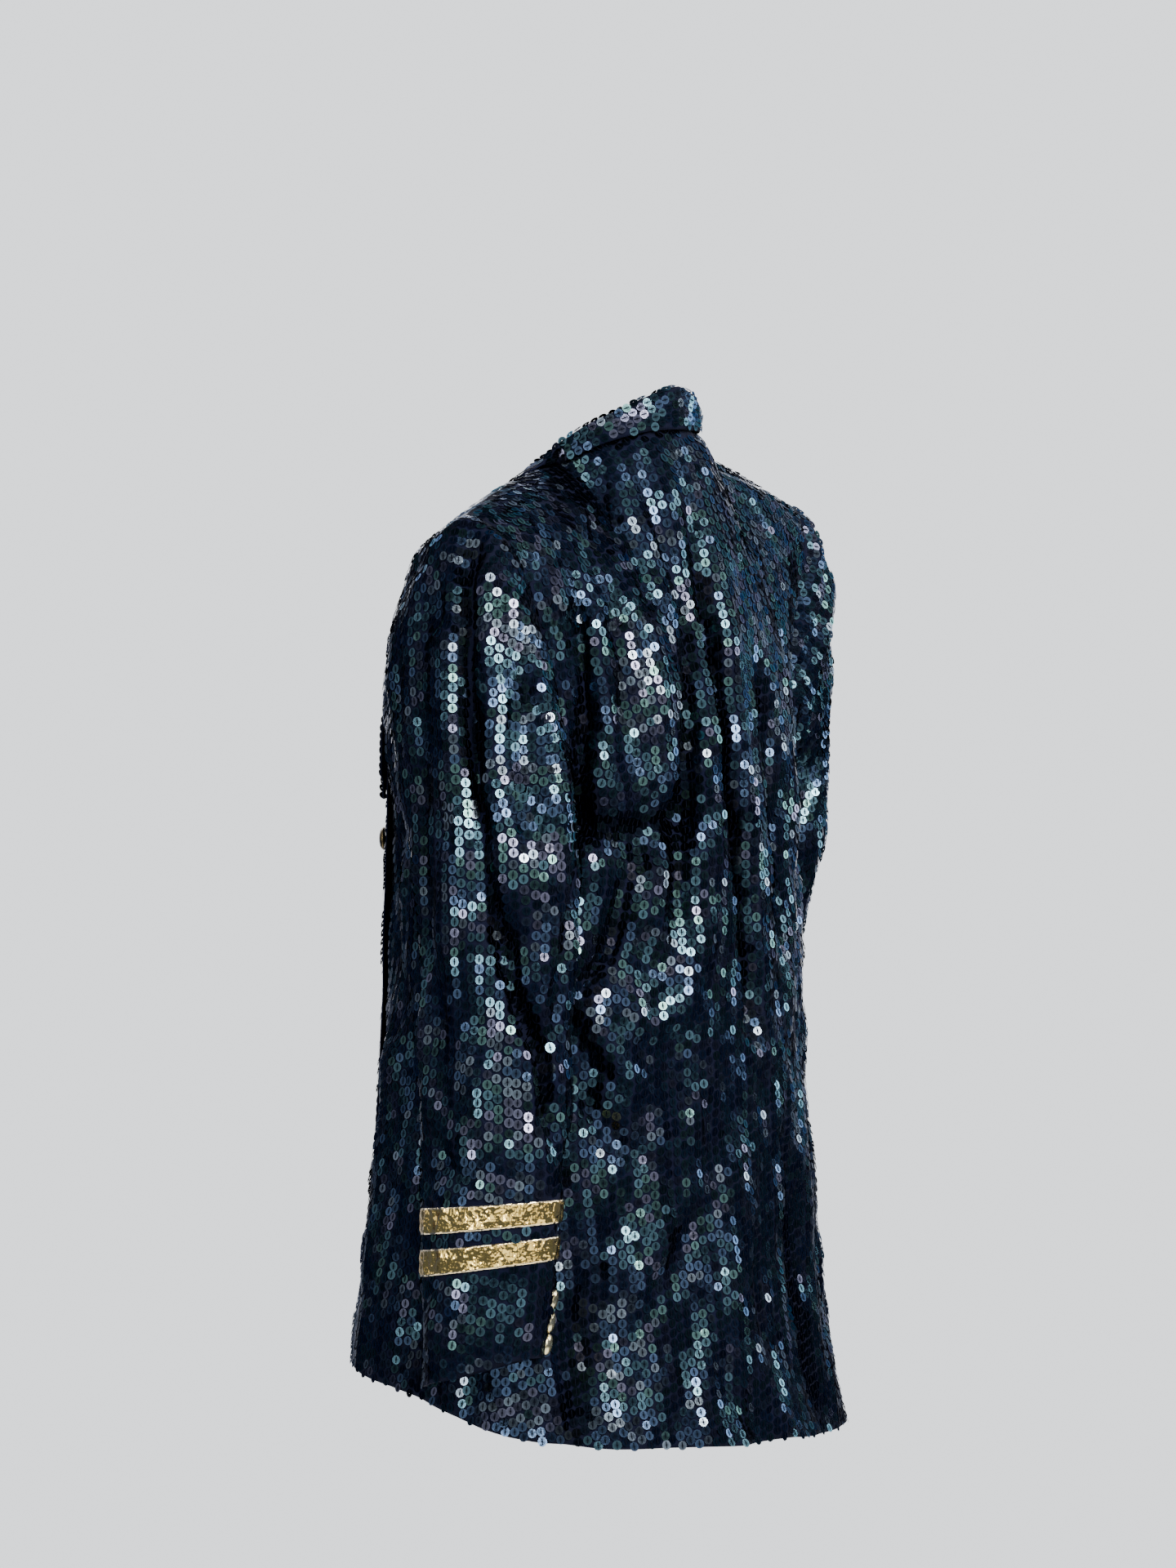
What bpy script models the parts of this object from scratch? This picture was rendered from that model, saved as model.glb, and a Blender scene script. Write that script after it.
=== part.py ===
"""A long double-breasted blazer in dark navy sequin cloth, with two gold stripes on each sleeve.

It keeps the hollow form that it has when it is worn. The wearer faces -Y, +X is the wearer's left
and +Z is up. The origin lies inside the neck, level with the neck end of the shoulder seams, and is
where the wearer's neck and shoulders carry the garment. Sizes are in metres and angles in degrees.

The body is drawn as level sections. An angle of 0 is the centre back, 90 the side seam on the
wearer's left and 180 the centre front. A panel's place is read as (across, up), each from 0 to 1.
A sleeve's place is read as (turn, place): turn is a share of a full turn from the top of the sleeve
by way of the back, and place runs from 0 at the armhole to 1 at the cuff.
"""

from collections import namedtuple

import bpy
import numpy as np
from mathutils import Vector

# Cloth and seams
CLOTH = 0.0018
SEAM = 0.0003

# Heights of the body
HEM = -0.711
UNDERARM = -0.235
CHEST = -0.150

# Where the panels end at chest height, as angles
BACK_ARMHOLE = 64.0
FRONT_ARMHOLE = 121.0
SIDE = 90.0
FRONT = 180.0

# Neck and shoulders
NECK_HALF_WIDTH = 0.068
NECK_BACK = 0.066
NECK_SIDE_HEIGHT = {1: 0.003, -1: 0.027}
NECK_BACK_HEIGHT = 0.033
SHOULDER_X = 0.205
SHOULDER_Y = 0.028
SHOULDER_HEIGHT = {1: -0.038, -1: -0.0195}
SHOULDER_ARCH = 0.005
NECK_SHARE = 0.36
CHEST_PULL = 0.13
TOP_LENGTH = 0.19
BACK_NECK_PULL = (0.0, -0.080, 0.090)
BACK_SHOULDER_PULL = (0.0, -0.150, 0.015)
FRONT_SHOULDER_PULL = (0.0, 0.150, 0.060)

# The double-breasted front
LEFT_EDGE = -0.085
RIGHT_EDGE = -0.099
BREAK = -0.268
EDGE_SWING = 0.012
LAYER = 0.0085
LAYER_FROM = 0.135
LAYER_TO = 0.092
LAYER_TOP = -0.025
LAYER_FULL = -0.080

# Grids
ROWS_LOW = 18
ROWS_ARM = 4
ROWS_TOP = 5
BACK_COLUMNS = 24
FRONT_COLUMNS = 15
SLEEVE_RINGS = 16
CUFF_RINGS = 4
ROWS = ROWS_LOW + ROWS_ARM + ROWS_TOP
DRIFT_FROM = -0.42
UP_UNDERARM = ROWS_LOW / ROWS
UP_CHEST = (ROWS_LOW + ROWS_ARM) / ROWS
SLEEVE_TURNS = 2 * (ROWS_ARM + ROWS_TOP)

# Collar
COLLAR_CLOTH = 0.0016
COLLAR_STEPS = 26
COLLAR_STAND_POINTS = 3
COLLAR_FALL_POINTS = 4

# Lapels
LAPEL_CLOTH = 0.0016
LAPEL_GAP = 0.0012
LAPEL_ROLL = {1: 0.0004, -1: 0.0030}
LAPEL_ROWS = 12
LAPEL_COLUMNS = 5

# Trim
STRIPE_THICK = 0.0010
STRIPE_OFF = 0.0008
STRIPE_WIDTH = 0.018
STRIPE_GAP = 0.0105
UPPER_STRIPE_TOP = 0.121
LOWER_STRIPE_TOP = UPPER_STRIPE_TOP - STRIPE_WIDTH - STRIPE_GAP
SLEEVE_LENGTH = 0.63
CUFF_BUTTON_RADIUS = 0.0075
FRONT_BUTTON_RADIUS = 0.0090
CUFF_BUTTON_TURN = 0.315
CUFF_BUTTON_DROPS = (0.044, 0.027, 0.010)
BUTTON_SIDES = 12
BUTTON_SHANK = 0.24
BUTTON_CLEAR = 0.0005
FRONT_BUTTON_HEIGHT = -0.281
FRONT_BUTTON_X = 0.081
PLACE_ROUNDS = 12

Section = namedtuple("Section", "height half_width axis_y back_y front_y")
TORSO = (
    Section(-0.760, 0.219, 0.020, 0.170, -0.190),
    Section(-0.745, 0.217, 0.020, 0.166, -0.188),
    Section(-0.680, 0.210, 0.020, 0.151, -0.186),
    Section(-0.620, 0.202, 0.020, 0.142, -0.181),
    Section(-0.530, 0.191, 0.020, 0.137, -0.170),
    Section(-0.446, 0.181, 0.020, 0.134, -0.164),
    Section(-0.385, 0.175, 0.020, 0.134, -0.163),
    Section(-0.315, 0.172, 0.020, 0.132, -0.162),
    Section(-0.268, 0.171, 0.020, 0.130, -0.160),
    Section(-0.235, 0.171, 0.020, 0.128, -0.162),
    Section(-0.185, 0.174, 0.020, 0.123, -0.169),
    Section(-0.150, 0.177, 0.020, 0.118, -0.166),
    Section(-0.115, 0.180, 0.020, 0.112, -0.153),
)

# The hem dips towards the back right, as the garment hangs
HemPoint = namedtuple("HemPoint", "angle height")
HEM_LINE = (
    HemPoint(-180.0, -0.684),
    HemPoint(-120.0, -0.718),
    HemPoint(-60.0, -0.745),
    HemPoint(-30.0, -0.741),
    HemPoint(0.0, -0.721),
    HemPoint(30.0, -0.708),
    HemPoint(60.0, -0.698),
    HemPoint(90.0, -0.682),
    HemPoint(120.0, -0.673),
    HemPoint(180.0, -0.684),
)

# A valley in the cloth has a depth above 0, and a ridge one below 0
Fold = namedtuple("Fold", "top top_angle low low_angle depth width")
TORSO_FOLDS = (
    Fold(-0.040, 13.0, -0.250, 7.0, 0.011, 0.011),
    Fold(-0.220, 8.0, -0.460, 0.0, 0.013, 0.012),
    Fold(-0.090, 24.0, -0.380, 31.0, 0.009, 0.011),
    Fold(-0.050, 47.0, -0.200, 44.0, 0.006, 0.012),
    Fold(-0.110, -14.0, -0.400, -22.0, 0.009, 0.014),
    Fold(-0.080, -36.0, -0.330, -50.0, 0.008, 0.015),
    Fold(-0.230, 60.0, -0.420, 30.0, 0.008, 0.014),
    Fold(-0.330, 66.0, -0.470, 36.0, -0.007, 0.016),
    Fold(-0.400, 74.0, -0.520, 30.0, 0.006, 0.014),
    Fold(-0.500, 44.0, -0.760, 60.0, 0.008, 0.020),
    Fold(-0.480, 8.0, -0.790, 14.0, -0.008, 0.024),
    Fold(-0.520, -20.0, -0.790, -26.0, 0.010, 0.022),
    Fold(-0.500, -62.0, -0.790, -70.0, -0.008, 0.024),
    Fold(-0.420, -95.0, -0.790, -104.0, 0.009, 0.022),
    Fold(-0.420, 98.0, -0.790, 106.0, 0.009, 0.022),
    Fold(-0.360, 124.0, -0.790, 128.0, -0.007, 0.024),
    Fold(-0.360, -122.0, -0.790, -130.0, -0.008, 0.024),
    Fold(-0.180, 118.0, -0.330, 138.0, 0.007, 0.014),
    Fold(-0.190, -116.0, -0.340, -142.0, 0.008, 0.014),
)
FOLD_RADIUS = 0.16

Station = namedtuple(
    "Station", "place inner_x inner_z outer_x outer_z centre_y half_deep lean"
)
SLEEVES = {
    1: (
        Station(0.00, 0.171, -0.235, 0.205, -0.038, 0.010, 0.066, 0.0),
        Station(0.06, 0.178, -0.236, 0.222, -0.043, 0.018, 0.069, 0.0),
        Station(0.14, 0.180, -0.240, 0.237, -0.068, 0.030, 0.073, 0.0),
        Station(0.24, 0.181, -0.247, 0.248, -0.120, 0.043, 0.075, 0.0),
        Station(0.34, 0.181, -0.262, 0.255, -0.190, 0.054, 0.0725, 0.0),
        Station(0.42, 0.182, -0.290, 0.259, -0.255, 0.062, 0.0675, 0.0),
        Station(0.55, 0.186, -0.370, 0.263, -0.350, 0.067, 0.061, -2.0),
        Station(0.70, 0.194, -0.458, 0.270, -0.446, 0.073, 0.0570, -5.0),
        Station(0.85, 0.202, -0.545, 0.277, -0.539, 0.0745, 0.0530, -11.0),
        Station(1.00, 0.209, -0.636, 0.282, -0.632, 0.071, 0.0490, -19.0),
    ),
    -1: (
        Station(0.00, 0.171, -0.235, 0.205, -0.0195, 0.010, 0.066, 0.0),
        Station(0.06, 0.178, -0.236, 0.223, -0.0255, 0.012, 0.068, 0.0),
        Station(0.14, 0.180, -0.240, 0.239, -0.048, 0.010, 0.070, 0.0),
        Station(0.24, 0.181, -0.247, 0.250, -0.100, 0.003, 0.068, 0.0),
        Station(0.34, 0.181, -0.262, 0.256, -0.176, -0.003, 0.065, 1.0),
        Station(0.42, 0.182, -0.292, 0.259, -0.247, -0.003, 0.064, 4.0),
        Station(0.55, 0.186, -0.360, 0.263, -0.342, -0.024, 0.061, 16.0),
        Station(0.70, 0.192, -0.437, 0.268, -0.427, -0.064, 0.058, 27.0),
        Station(0.85, 0.198, -0.512, 0.273, -0.506, -0.106, 0.055, 30.0),
        Station(1.00, 0.203, -0.587, 0.276, -0.583, -0.147, 0.053, 30.0),
    ),
}
CAP_FADE = 0.34

# Leaves the seam's wall at the armhole square to the X axis
ACROSS_BODY = np.array((0.0, 1.0, 1.0))

SleeveFold = namedtuple("SleeveFold", "top top_turn low low_turn depth width")
SLEEVE_FOLDS = {
    1: (
        SleeveFold(0.02, 0.030, 0.40, 0.055, 0.009, 0.009),
        SleeveFold(0.33, 0.050, 0.78, 0.260, 0.010, 0.010),
        SleeveFold(0.20, 0.140, 0.46, 0.150, 0.006, 0.009),
        SleeveFold(0.40, 0.300, 0.66, 0.210, 0.006, 0.011),
        SleeveFold(0.30, -0.120, 0.75, -0.060, 0.006, 0.012),
        SleeveFold(0.40, -0.260, 0.62, -0.180, 0.006, 0.012),
        SleeveFold(0.55, -0.330, 0.90, -0.270, 0.005, 0.012),
    ),
    -1: (
        SleeveFold(0.03, 0.060, 0.40, 0.080, 0.008, 0.010),
        SleeveFold(0.36, -0.330, 0.56, -0.120, 0.009, 0.010),
        SleeveFold(0.44, -0.360, 0.64, -0.150, 0.008, 0.010),
        SleeveFold(0.30, 0.160, 0.52, 0.240, 0.006, 0.012),
        SleeveFold(0.50, 0.120, 0.85, 0.050, 0.006, 0.012),
        SleeveFold(0.60, -0.280, 0.92, -0.200, 0.005, 0.012),
    ),
}

# The collar from the centre back, 0, to its front end, 1
Rail = namedtuple("Rail", "place rise reach off")
COLLAR = (
    Rail(0.00, 0.0260, 0.008, 0.0030),
    Rail(0.25, 0.0165, 0.011, 0.0030),
    Rail(0.50, 0.0070, 0.025, 0.0030),
    Rail(0.75, 0.0060, 0.032, 0.0030),
    Rail(1.00, 0.0050, 0.036, 0.0030),
)
COLLAR_FRONT_END = 0.42
COLLAR_FOLD_RADIUS = 0.0030
COLLAR_SEAT = 0.0012
COLLAR_BOW = 0.0030

# The lapel's reach from the roll line, from the break, 0, to the gorge, 1
Lapel = namedtuple("Lapel", "place reach")
LAPEL = (
    Lapel(0.00, 0.004),
    Lapel(0.30, 0.034),
    Lapel(0.60, 0.060),
    Lapel(0.85, 0.078),
    Lapel(1.00, 0.086),
)
LAPEL_START = {1: 0.30, -1: 0.02}
LAPEL_LOW_UP = 0.961 * UP_UNDERARM
LAPEL_TOP_UP = UP_CHEST + 0.508 * (1 - UP_CHEST)
LAPEL_PEAK_RISE = 0.101 * (1 - UP_CHEST)

Paint = namedtuple("Paint", "colour roughness metallic")
PAINTS = {
    "sequin_cloth": Paint((0.006, 0.012, 0.045), 0.30, 0.40),
    "gold_lame": Paint((0.78, 0.56, 0.18), 0.30, 1.00),
    "gold_metal": Paint((0.80, 0.60, 0.22), 0.22, 1.00),
}


def read(table, column, where):
    """One column of a table, read smoothly at any place along its first column."""
    knots = np.array([row[0] for row in table])
    values = np.array([getattr(row, column) for row in table])
    slopes = np.gradient(values, knots)
    where = np.clip(where, knots[0], knots[-1])
    i = np.clip(np.searchsorted(knots, where) - 1, 0, len(knots) - 2)
    span = knots[i + 1] - knots[i]
    t = (where - knots[i]) / span
    return (
        values[i] * (1 + 2 * t) * (1 - t) ** 2
        + values[i + 1] * t * t * (3 - 2 * t)
        + span * slopes[i] * t * (1 - t) ** 2
        - span * slopes[i + 1] * t * t * (1 - t)
    )


def ease(t):
    """A smooth step from 0 to 1."""
    t = np.clip(t, 0.0, 1.0)
    return t * t * (3 - 2 * t)


def mix(a, b, t):
    return a + (b - a) * t


def points(x, y, z):
    """Three arrays of any matching shapes as one array of points."""
    return np.stack(np.broadcast_arrays(x, y, z), axis=-1)


def unit(vectors):
    return vectors / np.linalg.norm(vectors, axis=-1, keepdims=True)


def torso_fold(height, angle):
    """How far the cloth lies inside its plain section."""
    inward = 0.0
    for fold in TORSO_FOLDS:
        share = (fold.top - height) / (fold.top - fold.low)
        centre = mix(fold.top_angle, fold.low_angle, share)
        turned = (angle - centre + 180.0) % 360.0 - 180.0
        across = np.radians(turned) * FOLD_RADIUS
        fade = ease(4 * share) * ease(4 * (1 - share))
        inward = inward + fold.depth * fade * np.exp(-((across / fold.width) ** 2))
    return inward


def level_point(height, angle):
    """A point of the body's level section, with its folds."""
    width = read(TORSO, "half_width", height)
    axis = read(TORSO, "axis_y", height)
    back = read(TORSO, "back_y", height) - axis
    front = axis - read(TORSO, "front_y", height)
    sine, cosine = np.sin(np.radians(angle)), np.cos(np.radians(angle))
    depth = np.where(cosine > 0, back, front)
    fold = torso_fold(height, angle)
    return points((width - fold) * sine, axis + (depth - fold) * cosine, height)


def hem_height(angle):
    return read(HEM_LINE, "height", (angle + 180.0) % 360.0 - 180.0)


def shoulder_point(side, share):
    """The shoulder seam, from the neck, 0, to the shoulder tip, 1."""
    tip = SHOULDER_HEIGHT[side]
    x = mix(NECK_HALF_WIDTH, SHOULDER_X, share)
    y = SHOULDER_Y * share
    z = mix(NECK_SIDE_HEIGHT[side], tip, share) + SHOULDER_ARCH * np.sin(np.pi * share)
    return points(side * x, y, z)


def neck_point(side, share):
    """The back neck edge, from the centre back, 0, to the shoulder seam, 1."""
    turn = np.radians(90.0 * share)
    x = NECK_HALF_WIDTH * np.sin(turn)
    y = NECK_BACK * np.cos(turn)
    z = mix(NECK_SIDE_HEIGHT[side], NECK_BACK_HEIGHT, np.cos(turn))
    return points(side * x, y, z)


def roll_x(side, height):
    """How far a front reaches past the centre: its edge below the break, its roll line above."""
    edge = LEFT_EDGE if side > 0 else RIGHT_EDGE
    swing = EDGE_SWING * np.clip((BREAK - height) / (BREAK - HEM), 0.0, 1.0) ** 2
    share = np.clip((height - BREAK) / (NECK_SIDE_HEIGHT[side] - BREAK), 0.0, 1.0)
    return mix(edge + swing, NECK_HALF_WIDTH, share)


def row_place(up):
    """The nominal height of a row below the chest, and its share of the armhole's lower curve."""
    low = np.clip(up / UP_UNDERARM, 0.0, 1.0)
    arm = np.clip((up - UP_UNDERARM) / (UP_CHEST - UP_UNDERARM), 0.0, 1.0)
    turn = np.radians(90.0 * arm)
    height = mix(HEM, UNDERARM, low) + (CHEST - UNDERARM) * (1 - np.cos(turn))
    return height, low, np.sin(turn)


def drift(up, near):
    """How far a column has moved from the side seam to the armhole: near is 1 at the edge."""
    height, _, arm = row_place(up)
    soft = ease((height - DRIFT_FROM) / (CHEST - DRIFT_FROM))
    return mix(soft, arm, near**3)


def body_point(angle, up, top, pull):
    """A point of the body: angle is the signed angle, top the point its column ends at."""
    nominal, low, _ = row_place(up)
    height = nominal + (hem_height(angle) - HEM) * (1 - low)
    below = level_point(height, angle)
    slope = (level_point(CHEST + 0.01, angle) - level_point(CHEST - 0.01, angle)) / 0.02
    start = level_point(CHEST, angle)
    rise = np.clip((up - UP_CHEST) / (1 - UP_CHEST), 0.0, 1.0)[..., None]
    above = (
        start * (1 + 2 * rise) * (1 - rise) ** 2
        + top * rise * rise * (3 - 2 * rise)
        + CHEST_PULL * slope * rise * (1 - rise) ** 2
        - pull * rise * rise * (1 - rise)
    )
    return np.where(rise > 0, above, below)


def gap_angle(gap):
    return np.degrees(gap / FOLD_RADIUS)


def back_point(across, up, gap=0.0):
    """The back panel: across runs from -1, the wearer's right, to 1."""
    across, up = np.broadcast_arrays(across, up)
    side = np.where(across < 0, -1, 1)
    share = np.abs(across)
    edge = mix(SIDE, BACK_ARMHOLE, drift(up, share)) - gap_angle(gap)
    seam = np.clip((share - NECK_SHARE) / (1 - NECK_SHARE), 0.0, 1.0)
    neck = np.clip(share / NECK_SHARE, 0.0, 1.0)
    shoulder = np.where(
        side[..., None] > 0, shoulder_point(1, seam), shoulder_point(-1, seam)
    )
    beside = np.where(side[..., None] > 0, neck_point(1, neck), neck_point(-1, neck))
    top = np.where((share > NECK_SHARE)[..., None], shoulder, beside)
    top = top + np.array((0.0, gap, 0.0))
    level = ease(neck)[..., None]
    pull = mix(np.array(BACK_NECK_PULL), np.array(BACK_SHOULDER_PULL), level)
    return body_point(across * edge, up, top, pull)


def front_point(side, across, up, gap=0.0):
    """A front panel: across runs from 0, the side seam and armhole, to 1, the edge or roll line."""
    across, up = np.broadcast_arrays(across, up)
    height, _, _ = row_place(up)
    start = mix(SIDE, FRONT_ARMHOLE, drift(up, 1 - across)) + gap_angle(gap)
    width = read(TORSO, "half_width", height)
    end = FRONT - np.degrees(np.arcsin(roll_x(side, height) / width))
    angle = mix(start, end, across)
    top = shoulder_point(side, 1 - across) - np.array((0.0, gap, 0.0))
    found = body_point(side * angle, up, top, np.array(FRONT_SHOULDER_PULL))
    if side < 0:
        own = -found[..., 0]
        over = ease((LAYER_FROM - own) / (LAYER_FROM - LAYER_TO))
        over = over * ease((LAYER_TOP - found[..., 2]) / (LAYER_TOP - LAYER_FULL))
        found = found - points(0.0, LAYER * over, 0.0)
    return found


def outward(surface, first, second, flip=1.0):
    """The unit normal of surface(first, second), from its slopes."""
    step = 0.002
    a = surface(first + step, second) - surface(first - step, second)
    b = surface(first, second + step) - surface(first, second - step)
    return flip * unit(np.cross(a, b))


def shoulder_normal(side, share):
    """Straight up, square to the shoulder seam. Both panels' walls follow it there."""
    along = unit(shoulder_point(side, share + 0.01) - shoulder_point(side, share - 0.01))
    upright = np.array((0.0, 0.0, 1.0))
    return unit(upright - along * along[..., 2:])


def side_normal(side, up):
    """Square out from the side seam. Both panels' walls follow it there."""
    nominal, low, _ = row_place(up)
    height = nominal + (hem_height(side * SIDE) - HEM) * (1 - low)
    return outward(level_point, height, side * SIDE)


def armhole_point(side, turn):
    """The armhole edge, from the shoulder tip down the back and up the front."""
    turn = turn % 1.0
    fall = np.where(turn < 0.5, turn, 1 - turn) / 0.5
    up = 1 - (1 - UP_UNDERARM) * fall
    back = back_point(side * np.ones_like(up), up)
    front = front_point(side, np.zeros_like(up), up)
    if side < 0:
        front[..., 1] = np.minimum(front[..., 1], back[..., 1])
    return np.where((turn < 0.5)[..., None], back, front)


def sleeve_ring(side, turn, place):
    """The sleeve's plain oval, without its folds or the armhole's shape."""
    table = SLEEVES[side]
    inner_x, inner_z = read(table, "inner_x", place), read(table, "inner_z", place)
    outer_x, outer_z = read(table, "outer_x", place), read(table, "outer_z", place)
    centre_y = read(table, "centre_y", place)
    deep = read(table, "half_deep", place)
    lean = np.radians(read(table, "lean", place))
    cosine, sine = np.cos(2 * np.pi * turn), np.sin(2 * np.pi * turn)
    x = (inner_x + outer_x) / 2 + (outer_x - inner_x) / 2 * cosine
    y = centre_y + deep * np.cos(lean) * sine
    z = (inner_z + outer_z) / 2 + (outer_z - inner_z) / 2 * cosine
    return points(side * x, y, z - deep * np.sin(lean) * sine)


def sleeve_fold(side, turn, place):
    """How far the sleeve's cloth lies inside its plain oval."""
    inward = 0.0
    for fold in SLEEVE_FOLDS[side]:
        share = (place - fold.top) / (fold.low - fold.top)
        centre = mix(fold.top_turn, fold.low_turn, share)
        turned = (turn - centre + 0.5) % 1.0 - 0.5
        across = turned * 2 * np.pi * read(SLEEVES[side], "half_deep", place)
        fade = ease(4 * share) * ease(4 * (1 - share))
        inward = inward + fold.depth * fade * np.exp(-((across / fold.width) ** 2))
    return inward


def sleeve_point(side, turn, place):
    """The outer face of a sleeve."""
    turn, place = np.broadcast_arrays(turn, place)
    oval = sleeve_ring(side, turn, place)
    centre = (oval + sleeve_ring(side, turn + 0.5, place)) / 2
    oval = oval - unit(oval - centre) * sleeve_fold(side, turn, place)[..., None]
    zero = np.zeros_like(place)
    shape = armhole_point(side, turn) - sleeve_ring(side, turn, zero)
    keep = 1 - ease(place / CAP_FADE)
    return oval + shape * keep[..., None] + points(side * SEAM, 0.0, 0.0)


def collar_rails(side, place):
    """The collar's sewn edge, its lower edge and the way out from one to the other."""
    behind = np.clip(place / 0.5, 0.0, 1.0)
    ahead = np.clip((place - 0.5) / 0.5, 0.0, 1.0)
    reach, off = read(COLLAR, "reach", place), read(COLLAR, "off", place)
    spread = reach / (SHOULDER_X - NECK_HALF_WIDTH)
    across = side * (NECK_SHARE * behind + (1 - NECK_SHARE) * spread * behind**2)
    drop = 1 - reach / TOP_LENGTH * (1 - UP_CHEST) * (1 - behind**2)
    up = 1 - ahead * (1 - UP_CHEST) * COLLAR_FRONT_END
    own_front = lambda a, u: front_point(side, a, u)
    is_behind = (place <= 0.5)[..., None]
    seam = np.where(is_behind, neck_point(side, behind), own_front(1 + 0 * up, up))
    laid = np.where(is_behind, back_point(across, drop), own_front(1 - spread, up))
    back_normal = outward(back_point, across, drop, -1)
    front_normal = outward(own_front, 1 - spread, up, -side)
    normal = unit(mix(back_normal, front_normal, ease((place - 0.4) / 0.2)[..., None]))
    fall = laid + normal * off[..., None]
    away = unit(fall - seam)
    return seam - away * COLLAR_SEAT, fall, away


def collar_section(side, place):
    """One cross-section of the collar, up the stand, over the fold and down the fall."""
    seam, fall, away = collar_rails(side, place)
    level = unit(away * np.array((1.0, 1.0, 0.0)))
    upright = np.array((0.0, 0.0, 1.0))
    top = seam + upright * read(COLLAR, "rise", place)[..., None]
    line = [mix(seam, top, t) for t in np.linspace(0, 1, COLLAR_STAND_POINTS)]
    for turn in np.radians((45.0, 90.0, 135.0)):
        out = level * (1 - np.cos(turn)) + upright * np.sin(turn)
        line.append(top + COLLAR_FOLD_RADIUS * out)
    over = top + 2 * COLLAR_FOLD_RADIUS * level
    for t in np.linspace(0, 1, COLLAR_FALL_POINTS):
        line.append(mix(over, fall, t) + level * COLLAR_BOW * np.sin(np.pi * t))
    return np.stack(line, axis=-2)


def row_length(side, up):
    """The length of a front panel's row, from its outer edge to its inner one."""
    across = np.linspace(0, 1, 9).reshape((9,) + (1,) * np.ndim(up))
    row = front_point(side, across, up)
    return np.linalg.norm(np.diff(row, axis=0), axis=-1).sum(axis=0)


def lapel_point(side, across, place):
    """A lapel, folded back on its front: across runs from the roll line to the outer edge."""
    across, place = np.broadcast_arrays(across, place)
    full = mix(LAPEL_START[side], 1.0, place)
    base = mix(LAPEL_LOW_UP, LAPEL_TOP_UP, full)
    up = base + LAPEL_PEAK_RISE * across * place**6
    reach = read(LAPEL, "reach", full)
    along = 1 - across * reach / row_length(side, base)
    normal = outward(lambda a, u: front_point(side, a, u), along, up, -side)
    roll = LAPEL_ROLL[side] * (1 - across) ** 2 * ease(4 * place)
    off = LAPEL_GAP + roll + LAPEL_CLOTH
    return front_point(side, along, up) + normal * off[..., None]


def front_place(side, x, height):
    """Where on a front panel a point at a given x and height is, below the chest."""
    width = read(TORSO, "half_width", height)
    angle = FRONT - np.degrees(np.arcsin(side * x / width))
    hem = hem_height(side * angle)
    up = UP_UNDERARM * (height - hem) / (UNDERARM - hem)
    end = FRONT - np.degrees(np.arcsin(roll_x(side, height) / width))
    across = 0.5
    for _ in range(PLACE_ROUNDS):
        start = mix(SIDE, FRONT_ARMHOLE, drift(up, 1 - across))
        across = (angle - start) / (end - start)
    return across, up


def grid_faces(rows, columns, closed_across):
    """Four-sided faces between the points of a grid."""
    across = np.arange(columns if closed_across else columns - 1)
    low = (np.arange(rows - 1)[:, None] * columns + across).reshape(-1)
    after = (np.arange(rows - 1)[:, None] * columns + (across + 1) % columns).reshape(-1)
    return np.stack((low, after, after + columns, low + columns), axis=1)


def grid_normals(grid, closed_across=False):
    """The normal at each point of a grid."""
    if closed_across:
        across = np.roll(grid, -1, axis=1) - np.roll(grid, 1, axis=1)
    else:
        across = np.gradient(grid, axis=1)
    return unit(np.cross(across, np.gradient(grid, axis=0)))


def rim_faces(line, inner, closed):
    """Faces along one line of outer points, from the outer face to the inner one."""
    ahead = np.roll(line, -1) if closed else line[1:]
    line = line if closed else line[:-1]
    return np.stack((ahead, line, line + inner, ahead + inner), axis=1)


def build_wall(name, outer, normals, thickness, closed_across=False):
    """A closed wall: an outer face, an inner face a thickness away and the rims between them."""
    rows, columns = outer.shape[:2]
    inner = outer - normals * thickness
    count = rows * columns
    index = np.arange(count).reshape(rows, columns)
    face = grid_faces(rows, columns, closed_across)
    parts = [face, face[:, ::-1] + count]
    parts.append(rim_faces(index[0], count, closed_across))
    parts.append(rim_faces(index[-1][::-1], count, closed_across))
    if not closed_across:
        parts.append(rim_faces(index[:, -1], count, False))
        parts.append(rim_faces(index[::-1, 0], count, False))
    faces = np.concatenate(parts)
    facing = (grid_normals(outer, closed_across) * normals).sum()
    if facing < 0:
        faces = faces[:, ::-1]
    spots = np.concatenate((outer.reshape(-1, 3), inner.reshape(-1, 3)))
    mesh = bpy.data.meshes.new(name)
    mesh.from_pydata(spots.tolist(), [], faces.tolist())
    return mesh


def make_material(name):
    paint = PAINTS[name]
    material = bpy.data.materials.new(name)
    material.use_nodes = True
    shader = material.node_tree.nodes["Principled BSDF"]
    shader.inputs["Base Color"].default_value = (*paint.colour, 1.0)
    shader.inputs["Roughness"].default_value = paint.roughness
    shader.inputs["Metallic"].default_value = paint.metallic
    return material


def add_object(name, mesh, material, collection):
    mesh.shade_smooth()
    thing = bpy.data.objects.new(name, mesh)
    thing.data.materials.append(material)
    collection.objects.link(thing)
    return thing


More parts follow.
